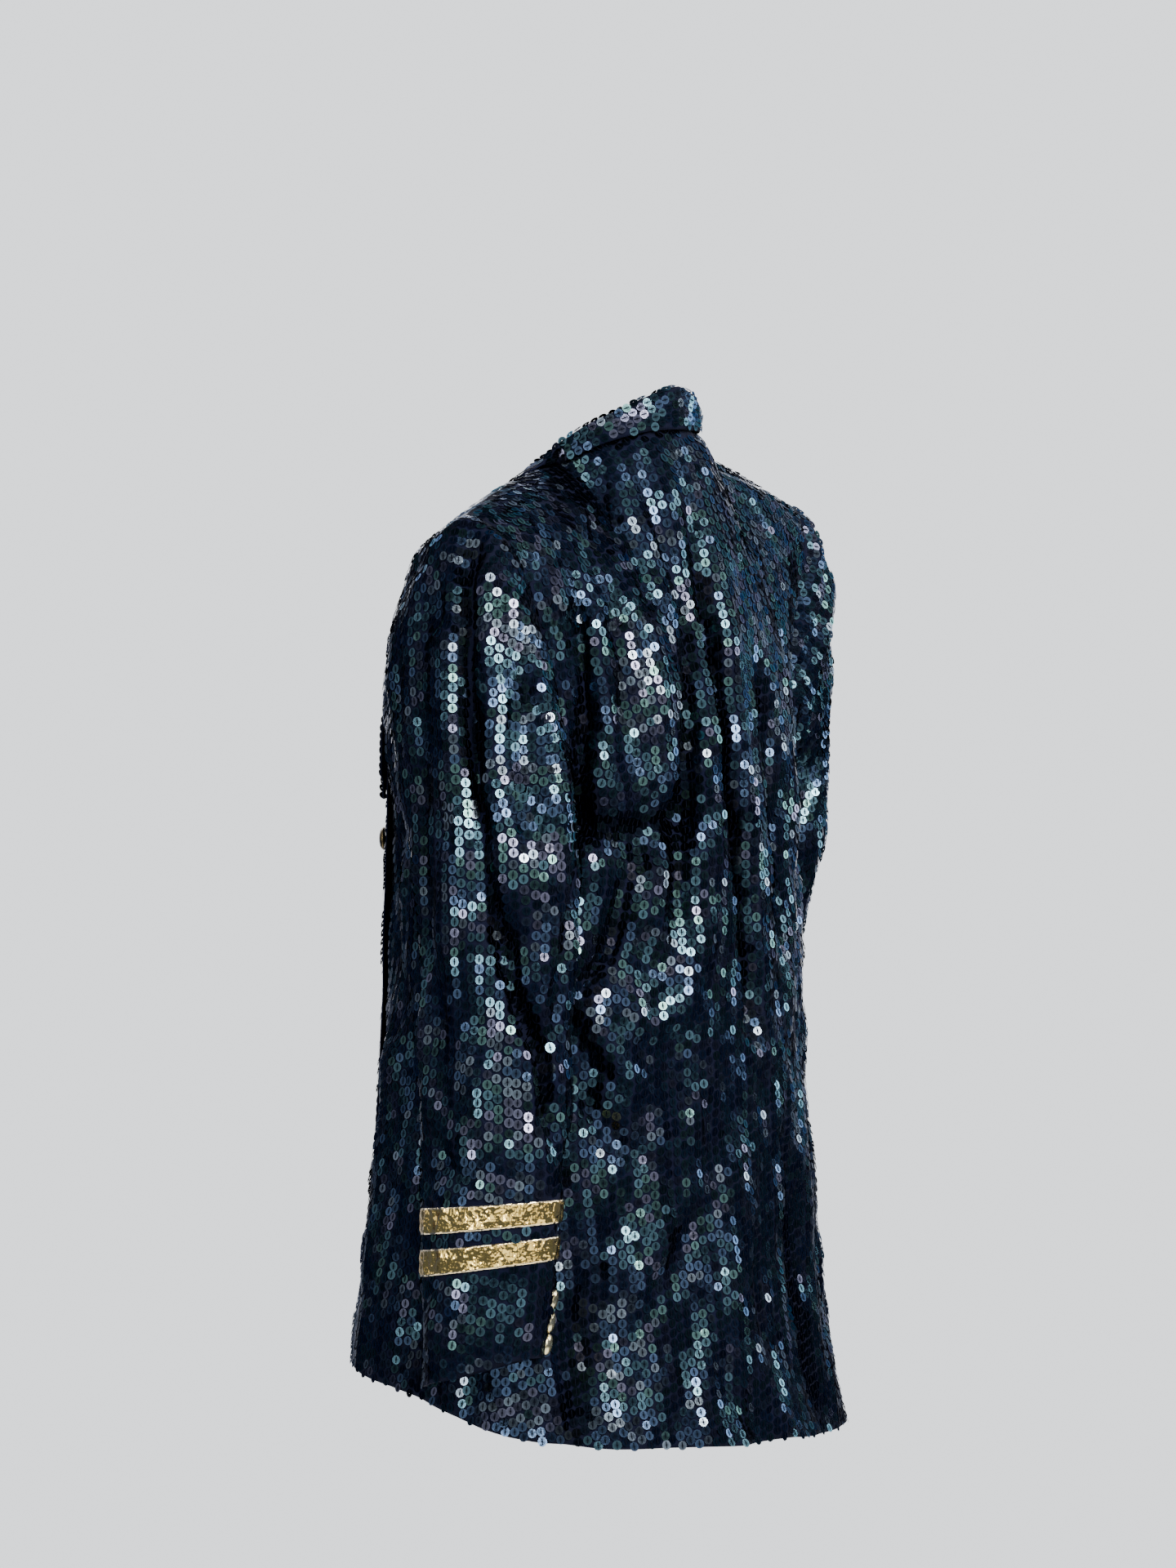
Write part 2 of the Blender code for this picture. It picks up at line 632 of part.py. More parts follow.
def make_back(cloth, collection):
    across = np.linspace(-1.0, 1.0, BACK_COLUMNS + 1)
    up = np.linspace(0.0, 1.0, ROWS + 1)
    grid = back_point(across[None, :], up[:, None], SEAM / 2)
    normals = -grid_normals(grid)
    share = (np.abs(across) - NECK_SHARE) / (1 - NECK_SHARE)
    for side, last in ((1, -1), (-1, 0)):
        seam = (share > 0) & (side * across > 0)
        normals[-1, seam] = shoulder_normal(side, share[seam])
        normals[: ROWS_LOW + 1, last] = side_normal(side, up[: ROWS_LOW + 1])
    mesh = build_wall("back", grid, normals, CLOTH)
    add_object("back", mesh, cloth, collection)


def make_front(side, cloth, collection):
    name = "front_left" if side > 0 else "front_right"
    across = np.linspace(0.0, 1.0, FRONT_COLUMNS + 1)
    up = np.linspace(0.0, 1.0, ROWS + 1)
    grid = front_point(side, across[None, :], up[:, None], SEAM / 2)
    normals = -side * grid_normals(grid)
    normals[-1] = shoulder_normal(side, 1 - across)
    normals[: ROWS_LOW + 1, 0] = side_normal(side, up[: ROWS_LOW + 1])
    mesh = build_wall(name, grid, normals, CLOTH)
    add_object(name, mesh, cloth, collection)


def sleeve_places():
    """The sleeve's rings. Some lie along the stripes' edges and middles, which are sewn there."""
    tops = (UPPER_STRIPE_TOP, LOWER_STRIPE_TOP)
    trim = [1 - (top - STRIPE_WIDTH * t) / SLEEVE_LENGTH for top in tops for t in (0.0, 0.5, 1.0)]
    above = np.linspace(0.0, trim[0], SLEEVE_RINGS, endpoint=False)
    below = np.linspace(trim[-1], 1.0, CUFF_RINGS)[1:]
    return np.concatenate((above, trim, below))


def make_sleeve(side, cloth, collection):
    name = "sleeve_left" if side > 0 else "sleeve_right"
    turn = np.arange(SLEEVE_TURNS) / SLEEVE_TURNS
    grid = sleeve_point(side, turn[None, :], sleeve_places()[:, None])
    normals = -side * grid_normals(grid, closed_across=True)
    normals[0] = unit(normals[0] * ACROSS_BODY)
    mesh = build_wall(name, grid, normals, CLOTH, closed_across=True)
    add_object(name, mesh, cloth, collection)


def make_collar(cloth, collection):
    place = np.linspace(-1.0, 1.0, COLLAR_STEPS + 1)
    left = collar_section(1, np.clip(place, 0.0, 1.0))
    right = collar_section(-1, np.clip(-place, 0.0, 1.0))
    grid = np.where((place < 0)[:, None, None], right, left)
    normals = grid_normals(grid)
    mesh = build_wall("collar", grid + normals * COLLAR_CLOTH / 2, normals, COLLAR_CLOTH)
    add_object("collar", mesh, cloth, collection)


def make_lapel(side, cloth, collection):
    name = "lapel_left" if side > 0 else "lapel_right"
    across = np.linspace(0.0, 1.0, LAPEL_COLUMNS + 1)
    place = np.linspace(0.0, 1.0, LAPEL_ROWS + 1)
    grid = lapel_point(side, across[None, :], place[:, None])
    normals = side * grid_normals(grid)
    mesh = build_wall(name, grid, normals, LAPEL_CLOTH)
    add_object(name, mesh, cloth, collection)


def make_stripe(name, side, top, gold, collection):
    """A ribbon sewn round a sleeve, its upper edge a distance top above the cuff."""
    turn = np.arange(SLEEVE_TURNS) / SLEEVE_TURNS
    drops = np.array((top, top - STRIPE_WIDTH / 2, top - STRIPE_WIDTH))
    place = 1 - drops / SLEEVE_LENGTH
    grid = sleeve_point(side, turn[None, :], place[:, None])
    normals = -side * grid_normals(grid, closed_across=True)
    outer = grid + normals * (STRIPE_OFF + STRIPE_THICK)
    mesh = build_wall(name, outer, normals, STRIPE_THICK, closed_across=True)
    add_object(name, mesh, gold, collection)


def make_button(name, radius, spot, normal, gold, collection):
    """A domed metal button on a short shank, turned about its own Z axis."""
    shank = BUTTON_SHANK * radius
    profile = (
        (0.0, shank + 0.52 * radius),
        (0.50 * radius, shank + 0.45 * radius),
        (0.86 * radius, shank + 0.28 * radius),
        (radius, shank + 0.12 * radius),
        (0.90 * radius, shank),
        (0.26 * radius, shank),
        (0.26 * radius, 0.0),
        (0.0, 0.0),
    )
    mesh = bpy.data.meshes.new(name)
    edges = [(i, i + 1) for i in range(len(profile) - 1)]
    mesh.from_pydata([(x, 0.0, z) for x, z in profile], edges, [])
    button = add_object(name, mesh, gold, collection)
    turned = button.modifiers.new("turned", "SCREW")
    turned.steps = BUTTON_SIDES
    turned.render_steps = BUTTON_SIDES
    turned.use_merge_vertices = True
    turned.merge_threshold = 0.00005
    button.location = Vector(spot + normal * BUTTON_CLEAR)
    button.rotation_euler = Vector(normal).to_track_quat("Z", "Y").to_euler()


def facet(surface, first, second, firsts, seconds, flip):
    """A point on the face between four grid points of a surface, and the normal there."""
    i = np.searchsorted(firsts, first) - 1
    j = np.searchsorted(seconds, second) - 1
    s = (first - firsts[i]) / (firsts[i + 1] - firsts[i])
    t = (second - seconds[j]) / (seconds[j + 1] - seconds[j])
    a, b = surface(firsts[i], seconds[j]), surface(firsts[i + 1], seconds[j])
    c, d = surface(firsts[i], seconds[j + 1]), surface(firsts[i + 1], seconds[j + 1])
    return mix(mix(a, b, s), mix(c, d, s), t), flip * unit(np.cross(d - a, c - b))


def make_cuff_buttons(side, gold, collection):
    turns = np.arange(SLEEVE_TURNS + 1) / SLEEVE_TURNS
    for number, drop in enumerate(CUFF_BUTTON_DROPS, start=1):
        place = 1 - drop / SLEEVE_LENGTH
        surface = lambda t, p: sleeve_point(side, t, p)
        spot, normal = facet(surface, CUFF_BUTTON_TURN, place, turns, sleeve_places(), -side)
        name = f"cuff_button_{'left' if side > 0 else 'right'}_{number}"
        make_button(name, CUFF_BUTTON_RADIUS, spot, normal, gold, collection)


def make_front_button(name, x, gold, collection):
    """A button on the right front, which lies over the left one."""
    across, up = front_place(-1, x, FRONT_BUTTON_HEIGHT)
    columns = np.linspace(0.0, 1.0, FRONT_COLUMNS + 1)
    rows = np.linspace(0.0, 1.0, ROWS + 1)
    surface = lambda a, u: front_point(-1, a, u)
    spot, normal = facet(surface, across, up, columns, rows, 1)
    make_button(name, FRONT_BUTTON_RADIUS, spot, normal, gold, collection)


def main():
    for thing in list(bpy.data.objects):
        bpy.data.objects.remove(thing)
    collection = bpy.data.collections.new("sequin_blazer")
    bpy.context.scene.collection.children.link(collection)
    materials = {name: make_material(name) for name in PAINTS}
    cloth, lame = materials["sequin_cloth"], materials["gold_lame"]
    metal = materials["gold_metal"]
    make_back(cloth, collection)
    make_collar(cloth, collection)
    for side in (1, -1):
        make_front(side, cloth, collection)
        make_lapel(side, cloth, collection)
        make_sleeve(side, cloth, collection)
        hand = "left" if side > 0 else "right"
        make_stripe(f"stripe_{hand}_upper", side, UPPER_STRIPE_TOP, lame, collection)
        make_stripe(f"stripe_{hand}_lower", side, LOWER_STRIPE_TOP, lame, collection)
        make_cuff_buttons(side, metal, collection)
    make_front_button("front_button_left", FRONT_BUTTON_X, metal, collection)
    make_front_button("front_button_right", -FRONT_BUTTON_X, metal, collection)


main()
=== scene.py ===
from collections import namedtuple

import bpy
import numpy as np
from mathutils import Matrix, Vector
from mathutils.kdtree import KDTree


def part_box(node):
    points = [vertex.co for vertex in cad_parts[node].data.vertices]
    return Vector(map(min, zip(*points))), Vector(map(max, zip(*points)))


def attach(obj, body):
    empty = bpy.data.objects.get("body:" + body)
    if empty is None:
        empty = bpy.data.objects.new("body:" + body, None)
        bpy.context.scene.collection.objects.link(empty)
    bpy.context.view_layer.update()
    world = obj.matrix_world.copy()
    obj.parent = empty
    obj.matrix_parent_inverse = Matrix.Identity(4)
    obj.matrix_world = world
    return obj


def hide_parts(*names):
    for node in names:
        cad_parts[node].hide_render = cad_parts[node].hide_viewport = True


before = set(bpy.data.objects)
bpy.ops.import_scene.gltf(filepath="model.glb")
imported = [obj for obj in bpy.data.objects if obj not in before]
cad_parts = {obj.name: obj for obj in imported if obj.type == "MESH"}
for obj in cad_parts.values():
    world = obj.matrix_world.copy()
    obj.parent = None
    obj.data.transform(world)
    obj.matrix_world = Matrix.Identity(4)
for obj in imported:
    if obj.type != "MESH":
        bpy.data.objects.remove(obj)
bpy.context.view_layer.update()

# The looks of a long double-breasted blazer in dark navy sequins, with gold stripes on its sleeves.
# Each panel's surface is worked out again, more finely than in the CAD solids, and gets the small
# creases, the cloth, and strands of real sequins sewn on one by one. Metres, and angles in degrees:
# 0 is the centre back, 90 the side seam on the wearer's left and 180 the centre front.

SEED = 11

SIDES = ((1, "left"), (-1, "right"))

# The body's sizes, as in the CAD model
SEAM = 0.0003
HEM = -0.711
UNDERARM = -0.235
CHEST = -0.150
DRIFT_FROM = -0.42
BACK_ARMHOLE = 64.0
FRONT_ARMHOLE = 121.0
SIDE = 90.0
FRONT = 180.0
NECK_HALF_WIDTH = 0.068
NECK_BACK = 0.066
NECK_SIDE_HEIGHT = {1: 0.003, -1: 0.027}
NECK_BACK_HEIGHT = 0.033
SHOULDER_X = 0.205
SHOULDER_Y = 0.028
SHOULDER_HEIGHT = {1: -0.038, -1: -0.0195}
SHOULDER_ARCH = 0.005
NECK_SHARE = 0.36
CHEST_PULL = 0.13
TOP_LENGTH = 0.19
BACK_NECK_PULL = (0.0, -0.080, 0.090)
BACK_SHOULDER_PULL = (0.0, -0.150, 0.015)
FRONT_SHOULDER_PULL = (0.0, 0.150, 0.060)
LEFT_EDGE = -0.085
RIGHT_EDGE = -0.099
BREAK = -0.268
EDGE_SWING = 0.012
LAYER = 0.0085
LAYER_FROM = 0.135
LAYER_TO = 0.092
LAYER_TOP = -0.025
LAYER_FULL = -0.080
FOLD_RADIUS = 0.16
BODY_SCALE = (1.0, np.radians(1.0) * FOLD_RADIUS)
UP_UNDERARM = 18 / 27
UP_CHEST = 22 / 27
SLOPE_STEP = 0.01

# The cloth's wall, its laps at the seams, and how smooth it lies beside seams and under other pieces
CLOTH = 0.0012
SEAM_LAP = 0.0009
LAP_FADE = 0.03
ARMHOLE_CALM = 0.92
ARMHOLE_FADE = 0.03
SHOULDER_CALM = 0.97
SHOULDER_FADE = 0.03
OVERLAP_X = 0.12
OVERLAP_FADE = 0.03
OVERLAP_CALM = 0.8
CAP_CALM = 0.05
STRIPE_ZONE = (0.78, 0.91)
STRIPE_ZONE_FADE = 0.03
STRIPE_CALM = 0.75

# Collar and lapels
COLLAR_FRONT_END = 0.42
COLLAR_FOLD_RADIUS = 0.0030
COLLAR_FOLD_TURN = (22.5, 157.5)
COLLAR_SEAT = 0.0012
COLLAR_BOW = 0.0012
COLLAR_SIDE_FROM = 0.4
COLLAR_SIDE_SPAN = 0.2
COLLAR_HALF_LENGTH = 0.19
COLLAR_DEPTH = 0.06
COLLAR_WAVE = 0.5
LAPEL_WIDTH = 0.08
LAPEL_LENGTH = 0.22
LAPEL_WAVE = 0.4
LAPEL_RISE = 0.0028
LAPEL_ROLL = {1: 0.0004, -1: 0.0030}
LAPEL_START = {1: 0.30, -1: 0.02}
LAPEL_LOW_UP = 0.961 * UP_UNDERARM
LAPEL_TOP_UP = UP_CHEST + 0.508 * (1 - UP_CHEST)
LAPEL_PEAK_RISE = 0.101 * (1 - UP_CHEST)

# Sleeves. A sleeve's oval has a radius of about SLEEVE_RADIUS and is SLEEVE_AROUND round
SLEEVE_LENGTH = 0.63
SLEEVE_AROUND = 0.36
SLEEVE_RADIUS = 0.05
CAP_FADE = 0.34

# The gold ribbon of the stripes, with coarse crinkles in groups and fine ones between them
STRIPE_WIDTH = 0.018
STRIPE_TOPS = {"upper": 0.121, "lower": 0.0925}
STRIPE_RISE = 0.0018
STRIPE_MARGIN = 0.0015
RIBBON = 0.0006
RIBBON_GOLD = (0.92, 0.60, 0.15, 1.0)
RIBBON_EDGE = (0.95, 0.78, 0.50, 1.0)
EDGE_SHARPNESS = 8
EDGE_CALM = 3
Crinkle = namedtuple("Crinkle", "count slant depth")
CRINKLE = Crinkle(23, 0.5, 0.00075)
CRINKLE_GROUPS = 7
CRINKLE_GROUP_SHIFT = 0.4
FINE_CRINKLE = Crinkle(61, -1.3, 0.00030)
FINE_SWAY = 0.2
FINE_SWAY_RATE = 40

# Buttons. Each group faces away from a point inside the body or the cuff
CUFF_BUTTON_RADIUS = 0.0075
FRONT_BUTTON_RADIUS = 0.0090
BUTTON_TURNS = 32
BUTTON_INSIDE = {
    "body": (0.0, 0.02, 0.0),
    "left": (0.245, 0.070, 0.0),
    "right": (-0.240, -0.110, 0.0),
}

# A button's section in shares of its radius: the distance from its middle and its height
BUTTON_PROFILE = (
    (0.00, 0.76), (0.20, 0.752), (0.40, 0.725), (0.56, 0.685), (0.62, 0.655), (0.66, 0.665),
    (0.72, 0.650), (0.86, 0.545), (0.95, 0.455), (1.00, 0.370), (0.99, 0.300), (0.92, 0.245),
    (0.30, 0.235), (0.26, 0.200), (0.26, 0.08), (0.00, 0.08),
)

# Grids of the cloth
BODY_ROWS = 150
BACK_COLUMNS = 128
FRONT_COLUMNS = 84
SLEEVE_TURNS = 84
SLEEVE_ROWS = 130
ROW_STEPS = 9
COLLAR_STEPS = 110
STAND_ROWS = 7
FOLD_ROWS = 7
FALL_ROWS = 11
LAPEL_COLUMNS = 20
LAPEL_ROWS = 56
STRIPE_TURNS = 168
STRIPE_ROWS = 12

# Sequins, and the strands that they are sewn on along a panel
SEQUIN_RADIUS = 0.0034
SEQUIN_HOLE = 0.0007
SEQUIN_SIDES = 10
SEQUIN_POINTS = 2 * SEQUIN_SIDES + 4
SEQUIN_LIFT = 0.0010
SIZE_SPREAD = 0.03
STRAND_SPACING = 0.0069
STRAND_PITCH = 0.0071
STRAND_WANDER = 0.00035
STRAND_MARGIN = 0.45 * SEQUIN_RADIUS
STRAND_START_SPREAD = 0.25
SHORTEST_STRAND = 3
FRONT_STRAND_X = 0.11

# How far sequins lean, nod and twist, in degrees: all alike, each one, and as their strand drifts
SHINGLE = 5.0
NOD = 2.2
TWIST = 3.0
STRAND_NOD = 4.4
STRAND_TWIST = 6.0
STRAND_MEMORY = 0.86

# How the tints vary: a painted highlight on each sequin's rim and painted shade at its hole, painted shade
# in the folds, and from one sequin to the next
# Painted light on each sequin: a painted highlight at its rim and painted shade towards its hole
RIM_PAINTED_HIGHLIGHT = 1.20
HOLE_PAINTED_SHADE = 0.50
# Painted shade that darkens the sequins deep in the folds
FOLD_SHADE_PAINT = 0.90
FOLD_SHADE_PAINT_FROM = 0.0035
FOLD_SHADE_PAINT_FULL = 0.0110
TINT_SLANT = (0.9, 0.7)
TINT_WAVE = 0.0012
TINT_DRIFT = 0.36
TINT_SCATTER = 0.10
TINT_SPREAD = 0.22

# The stitch over each sequin, and where no sequin is sewn because another piece covers it
THREAD_WIDTH = 0.0007
THREAD_REACH = (-0.65, 0.75)
THREAD_LIFT = 0.00015
COVER_REACH = 0.0036
COVER_LIFT = 0.0004
HIDDEN_X = 0.085
HIDDEN_UP = 0.60

# Colours along a noise's values, and each film's least and greatest roughness
GROUND_COLOURS = ((0.3, (0.0005, 0.0010, 0.0055)), (0.7, (0.0011, 0.0020, 0.0115)))
THREAD_COLOURS = ((0.3, (0.0005, 0.0009, 0.003)), (0.7, (0.0012, 0.0020, 0.006)))
FLOOR_COLOURS = ((0.3, (0.70, 0.71, 0.72)), (0.7, (0.76, 0.77, 0.78)))
SEQUIN_SHEEN = (0.42, 0.44, 0.50, 1.0)
SEQUIN_ROUGHNESS = (0.13, 0.24)
RIBBON_ROUGHNESS = (0.09, 0.22)
WORN_PLACES = (0.35, 0.65)
Metal = namedtuple("Metal", "name dark light roughness")
PALE_GOLD = Metal("pale_gold", (0.62, 0.50, 0.24), (0.86, 0.74, 0.42), 0.25)
# The front buttons' gold is darkened all over as painted shade
SHADED_GOLD = Metal("shaded_gold_paint", (0.05, 0.035, 0.018), (0.15, 0.105, 0.045), 0.32)

# The stage, and the photograph's view: degrees from straight behind and downwards, and metres
FLOOR_HEIGHT = -1.45
FLOOR_RADIUS = 1.5
FLOOR_SIDES = 96
BACKDROP_COLOUR = (0.93, 0.96, 1.0, 1.0)
BACKDROP_GLOW = 1.7
ROOM_COLOUR = (0.36, 0.48, 0.86, 1.0)
ROOM_GLOW = 0.27
VIEW_TURN = 54.0
VIEW_PITCH = 3.28
VIEW_DISTANCE = 2.4
VIEW_HEIGHT = -0.10
VIEW_ASIDE = 0.0125
LENS_MM = 72.0
SENSOR_MM = 36.0

Section = namedtuple("Section", "height half_width axis_y back_y front_y")
TORSO = (
    Section(-0.760, 0.219, 0.020, 0.170, -0.190),
    Section(-0.745, 0.217, 0.020, 0.166, -0.188),
    Section(-0.680, 0.210, 0.020, 0.151, -0.186),
    Section(-0.620, 0.202, 0.020, 0.142, -0.181),
    Section(-0.530, 0.191, 0.020, 0.137, -0.170),
    Section(-0.446, 0.181, 0.020, 0.134, -0.164),
    Section(-0.385, 0.175, 0.020, 0.134, -0.163),
    Section(-0.315, 0.172, 0.020, 0.132, -0.162),
    Section(-0.268, 0.171, 0.020, 0.130, -0.160),
    Section(-0.235, 0.171, 0.020, 0.128, -0.162),
    Section(-0.185, 0.174, 0.020, 0.123, -0.169),
    Section(-0.150, 0.177, 0.020, 0.118, -0.166),
    Section(-0.115, 0.180, 0.020, 0.112, -0.153),
)

HemPoint = namedtuple("HemPoint", "angle height")
HEM_LINE = (
    HemPoint(-180.0, -0.684),
    HemPoint(-120.0, -0.718),
    HemPoint(-60.0, -0.745),
    HemPoint(-30.0, -0.741),
    HemPoint(0.0, -0.721),
    HemPoint(30.0, -0.708),
    HemPoint(60.0, -0.698),
    HemPoint(90.0, -0.682),
    HemPoint(120.0, -0.673),
    HemPoint(180.0, -0.684),
)

# The large folds, placed more finely than in the CAD solids. A valley has a depth above 0, and a
# ridge one below 0
Fold = namedtuple("Fold", "top top_angle low low_angle depth width")
TORSO_FOLDS = (
    Fold(-0.030, 6.0, -0.260, 3.4, 0.015, 0.0090),
    Fold(-0.190, 4.5, -0.450, -4.0, 0.017, 0.0095),
    Fold(-0.070, 10.0, -0.370, 29.0, 0.012, 0.0095),
    Fold(-0.050, 40.0, -0.200, 40.0, 0.008, 0.0080),
    Fold(-0.110, 48.0, -0.300, 61.0, 0.012, 0.0110),
    Fold(-0.110, -14.0, -0.400, -22.0, 0.009, 0.014),
    Fold(-0.080, -36.0, -0.330, -50.0, 0.008, 0.015),
    Fold(-0.250, 32.0, -0.400, 60.0, 0.009, 0.0110),
    Fold(-0.330, 66.0, -0.470, 36.0, -0.007, 0.016),
    Fold(-0.400, 74.0, -0.520, 30.0, 0.006, 0.014),
    Fold(-0.500, 44.0, -0.760, 60.0, 0.008, 0.020),
    Fold(-0.480, 8.0, -0.790, 14.0, -0.008, 0.024),
    Fold(-0.520, -20.0, -0.790, -26.0, 0.010, 0.022),
    Fold(-0.500, -62.0, -0.790, -70.0, -0.008, 0.024),
    Fold(-0.420, -95.0, -0.790, -104.0, 0.009, 0.022),
    Fold(-0.420, 98.0, -0.790, 106.0, 0.009, 0.022),
    Fold(-0.360, 124.0, -0.790, 128.0, -0.007, 0.024),
    Fold(-0.360, -122.0, -0.790, -130.0, -0.008, 0.024),
    Fold(-0.180, 118.0, -0.330, 138.0, 0.007, 0.014),
    Fold(-0.190, -116.0, -0.340, -142.0, 0.008, 0.014),
)

# Small creases. A path is a line of places: (height, angle) on the body, (place, turn) on a sleeve
Crease = namedtuple("Crease", "depth width path")
BODY_CREASES = (
    Crease(0.0060, 0.007, ((-0.050, 6), (-0.140, 4), (-0.206, 4), (-0.270, 3), (-0.400, -2))),
    Crease(0.0050, 0.007, ((-0.100, 12), (-0.214, 19), (-0.267, 23), (-0.345, 27))),
    Crease(-0.0030, 0.007, ((-0.060, -2), (-0.185, -1), (-0.261, -2), (-0.389, -5))),
    Crease(-0.0035, 0.009, ((-0.045, 24), (-0.130, 27), (-0.220, 31))),
    Crease(-0.0030, 0.008, ((-0.050, 33), (-0.110, 34), (-0.180, 35))),
    Crease(-0.0040, 0.009, ((-0.050, 46), (-0.110, 46), (-0.190, 50))),
    Crease(0.0120, 0.019, ((-0.230, 12), (-0.256, 26), (-0.264, 44), (-0.250, 72))),
    Crease(-0.0070, 0.011, ((-0.320, 57), (-0.370, 51), (-0.408, 36), (-0.390, 24), (-0.300, 13))),
    Crease(0.0060, 0.013, ((-0.325, 38), (-0.360, 35), (-0.375, 32))),
    Crease(0.0050, 0.008, ((-0.270, 33), (-0.317, 39), (-0.345, 48), (-0.385, 60))),
    Crease(0.0040, 0.009, ((-0.390, 62), (-0.430, 52), (-0.450, 40))),
    Crease(-0.0035, 0.008, ((-0.400, 6), (-0.440, 15), (-0.475, 20), (-0.520, 19))),
    Crease(-0.0030, 0.008, ((-0.425, 3), (-0.441, -9), (-0.520, -12))),
    Crease(-0.0035, 0.009, ((-0.520, 52), (-0.567, 47), (-0.595, 37), (-0.566, 30), (-0.520, 26))),
    Crease(0.0050, 0.011, ((-0.520, 19), (-0.560, 24), (-0.615, 34), (-0.660, 44))),
    Crease(-0.0040, 0.010, ((-0.580, 14), (-0.650, 19), (-0.735, 24))),
    Crease(0.0060, 0.010, ((-0.640, 19), (-0.680, 14), (-0.735, 3))),
    Crease(-0.0045, 0.011, ((-0.640, 6), (-0.690, 1), (-0.740, -6))),
    Crease(0.0045, 0.012, ((-0.560, 60), (-0.620, 53), (-0.720, 56))),
    Crease(0.0030, 0.009, ((-0.480, -14), (-0.560, -20), (-0.650, -16))),
    Crease(-0.0030, 0.010, ((-0.120, -28), (-0.220, -32), (-0.330, -30))),
    Crease(0.0040, 0.009, ((-0.120, -14), (-0.230, -17), (-0.340, -16))),
    Crease(0.0035, 0.010, ((-0.160, -44), (-0.280, -40), (-0.420, -30))),
    Crease(0.0035, 0.012, ((-0.400, -48), (-0.520, -42), (-0.700, -46))),
    Crease(0.0040, 0.011, ((-0.235, 84), (-0.300, 96), (-0.360, 118))),
    Crease(0.0040, 0.011, ((-0.235, -84), (-0.300, -98), (-0.350, -120))),
    Crease(-0.0030, 0.012, ((-0.300, 100), (-0.400, 112), (-0.480, 140))),
    Crease(0.0030, 0.012, ((-0.290, 150), (-0.350, 132), (-0.450, 118))),
    Crease(0.0030, 0.012, ((-0.290, -150), (-0.370, -134), (-0.470, -124))),
    Crease(0.0030, 0.014, ((-0.500, 150), (-0.600, 152), (-0.700, 148))),
    Crease(0.0030, 0.014, ((-0.480, -160), (-0.600, -156), (-0.700, -160))),
)

# Sleeve sections: place runs from the shoulder, 0, to the cuff, 1
Station = namedtuple("Station", "place inner_x inner_z outer_x outer_z centre_y half_deep lean")
SLEEVES = {
    1: (
        Station(0.00, 0.171, -0.235, 0.205, -0.038, 0.010, 0.066, 0.0),
        Station(0.06, 0.178, -0.236, 0.222, -0.043, 0.018, 0.069, 0.0),
        Station(0.14, 0.180, -0.240, 0.237, -0.068, 0.030, 0.073, 0.0),
        Station(0.24, 0.181, -0.247, 0.248, -0.120, 0.043, 0.075, 0.0),
        Station(0.34, 0.181, -0.262, 0.255, -0.190, 0.054, 0.0725, 0.0),
        Station(0.42, 0.182, -0.290, 0.259, -0.255, 0.062, 0.0675, 0.0),
        Station(0.55, 0.186, -0.370, 0.263, -0.350, 0.067, 0.061, -2.0),
        Station(0.70, 0.194, -0.458, 0.270, -0.446, 0.073, 0.0570, -5.0),
        Station(0.85, 0.202, -0.545, 0.277, -0.539, 0.0745, 0.0530, -11.0),
        Station(1.00, 0.209, -0.636, 0.282, -0.632, 0.071, 0.0490, -19.0),
    ),
    -1: (
        Station(0.00, 0.171, -0.235, 0.205, -0.0195, 0.010, 0.066, 0.0),
        Station(0.06, 0.178, -0.236, 0.223, -0.0255, 0.012, 0.068, 0.0),
        Station(0.14, 0.180, -0.240, 0.239, -0.048, 0.010, 0.070, 0.0),
        Station(0.24, 0.181, -0.247, 0.250, -0.100, 0.003, 0.068, 0.0),
        Station(0.34, 0.181, -0.262, 0.256, -0.176, -0.003, 0.065, 1.0),
        Station(0.42, 0.182, -0.292, 0.259, -0.247, -0.003, 0.064, 4.0),
        Station(0.55, 0.186, -0.360, 0.263, -0.342, -0.024, 0.061, 16.0),
        Station(0.70, 0.192, -0.437, 0.268, -0.427, -0.064, 0.058, 27.0),
        Station(0.85, 0.198, -0.512, 0.273, -0.506, -0.106, 0.055, 30.0),
        Station(1.00, 0.203, -0.587, 0.276, -0.583, -0.147, 0.053, 30.0),
    ),
}

SleeveFold = namedtuple("SleeveFold", "top top_turn low low_turn depth width")
SLEEVE_FOLDS = {
    1: (
        SleeveFold(0.02, 0.018, 0.46, 0.046, 0.013, 0.0085),
        SleeveFold(0.42, 0.040, 0.78, 0.265, 0.014, 0.0095),
        SleeveFold(0.20, 0.140, 0.46, 0.150, 0.006, 0.009),
        SleeveFold(0.40, 0.300, 0.66, 0.210, 0.006, 0.011),
        SleeveFold(0.30, -0.120, 0.75, -0.060, 0.006, 0.012),
        SleeveFold(0.40, -0.260, 0.62, -0.180, 0.006, 0.012),
        SleeveFold(0.55, -0.330, 0.90, -0.270, 0.005, 0.012),
    ),
    -1: (
        SleeveFold(0.03, 0.060, 0.40, 0.080, 0.008, 0.010),
        SleeveFold(0.36, -0.330, 0.56, -0.120, 0.009, 0.010),
        SleeveFold(0.44, -0.360, 0.64, -0.150, 0.008, 0.010),
        SleeveFold(0.30, 0.160, 0.52, 0.240, 0.006, 0.012),
        SleeveFold(0.50, 0.120, 0.85, 0.050, 0.006, 0.012),
        SleeveFold(0.60, -0.280, 0.92, -0.200, 0.005, 0.012),
    ),
}
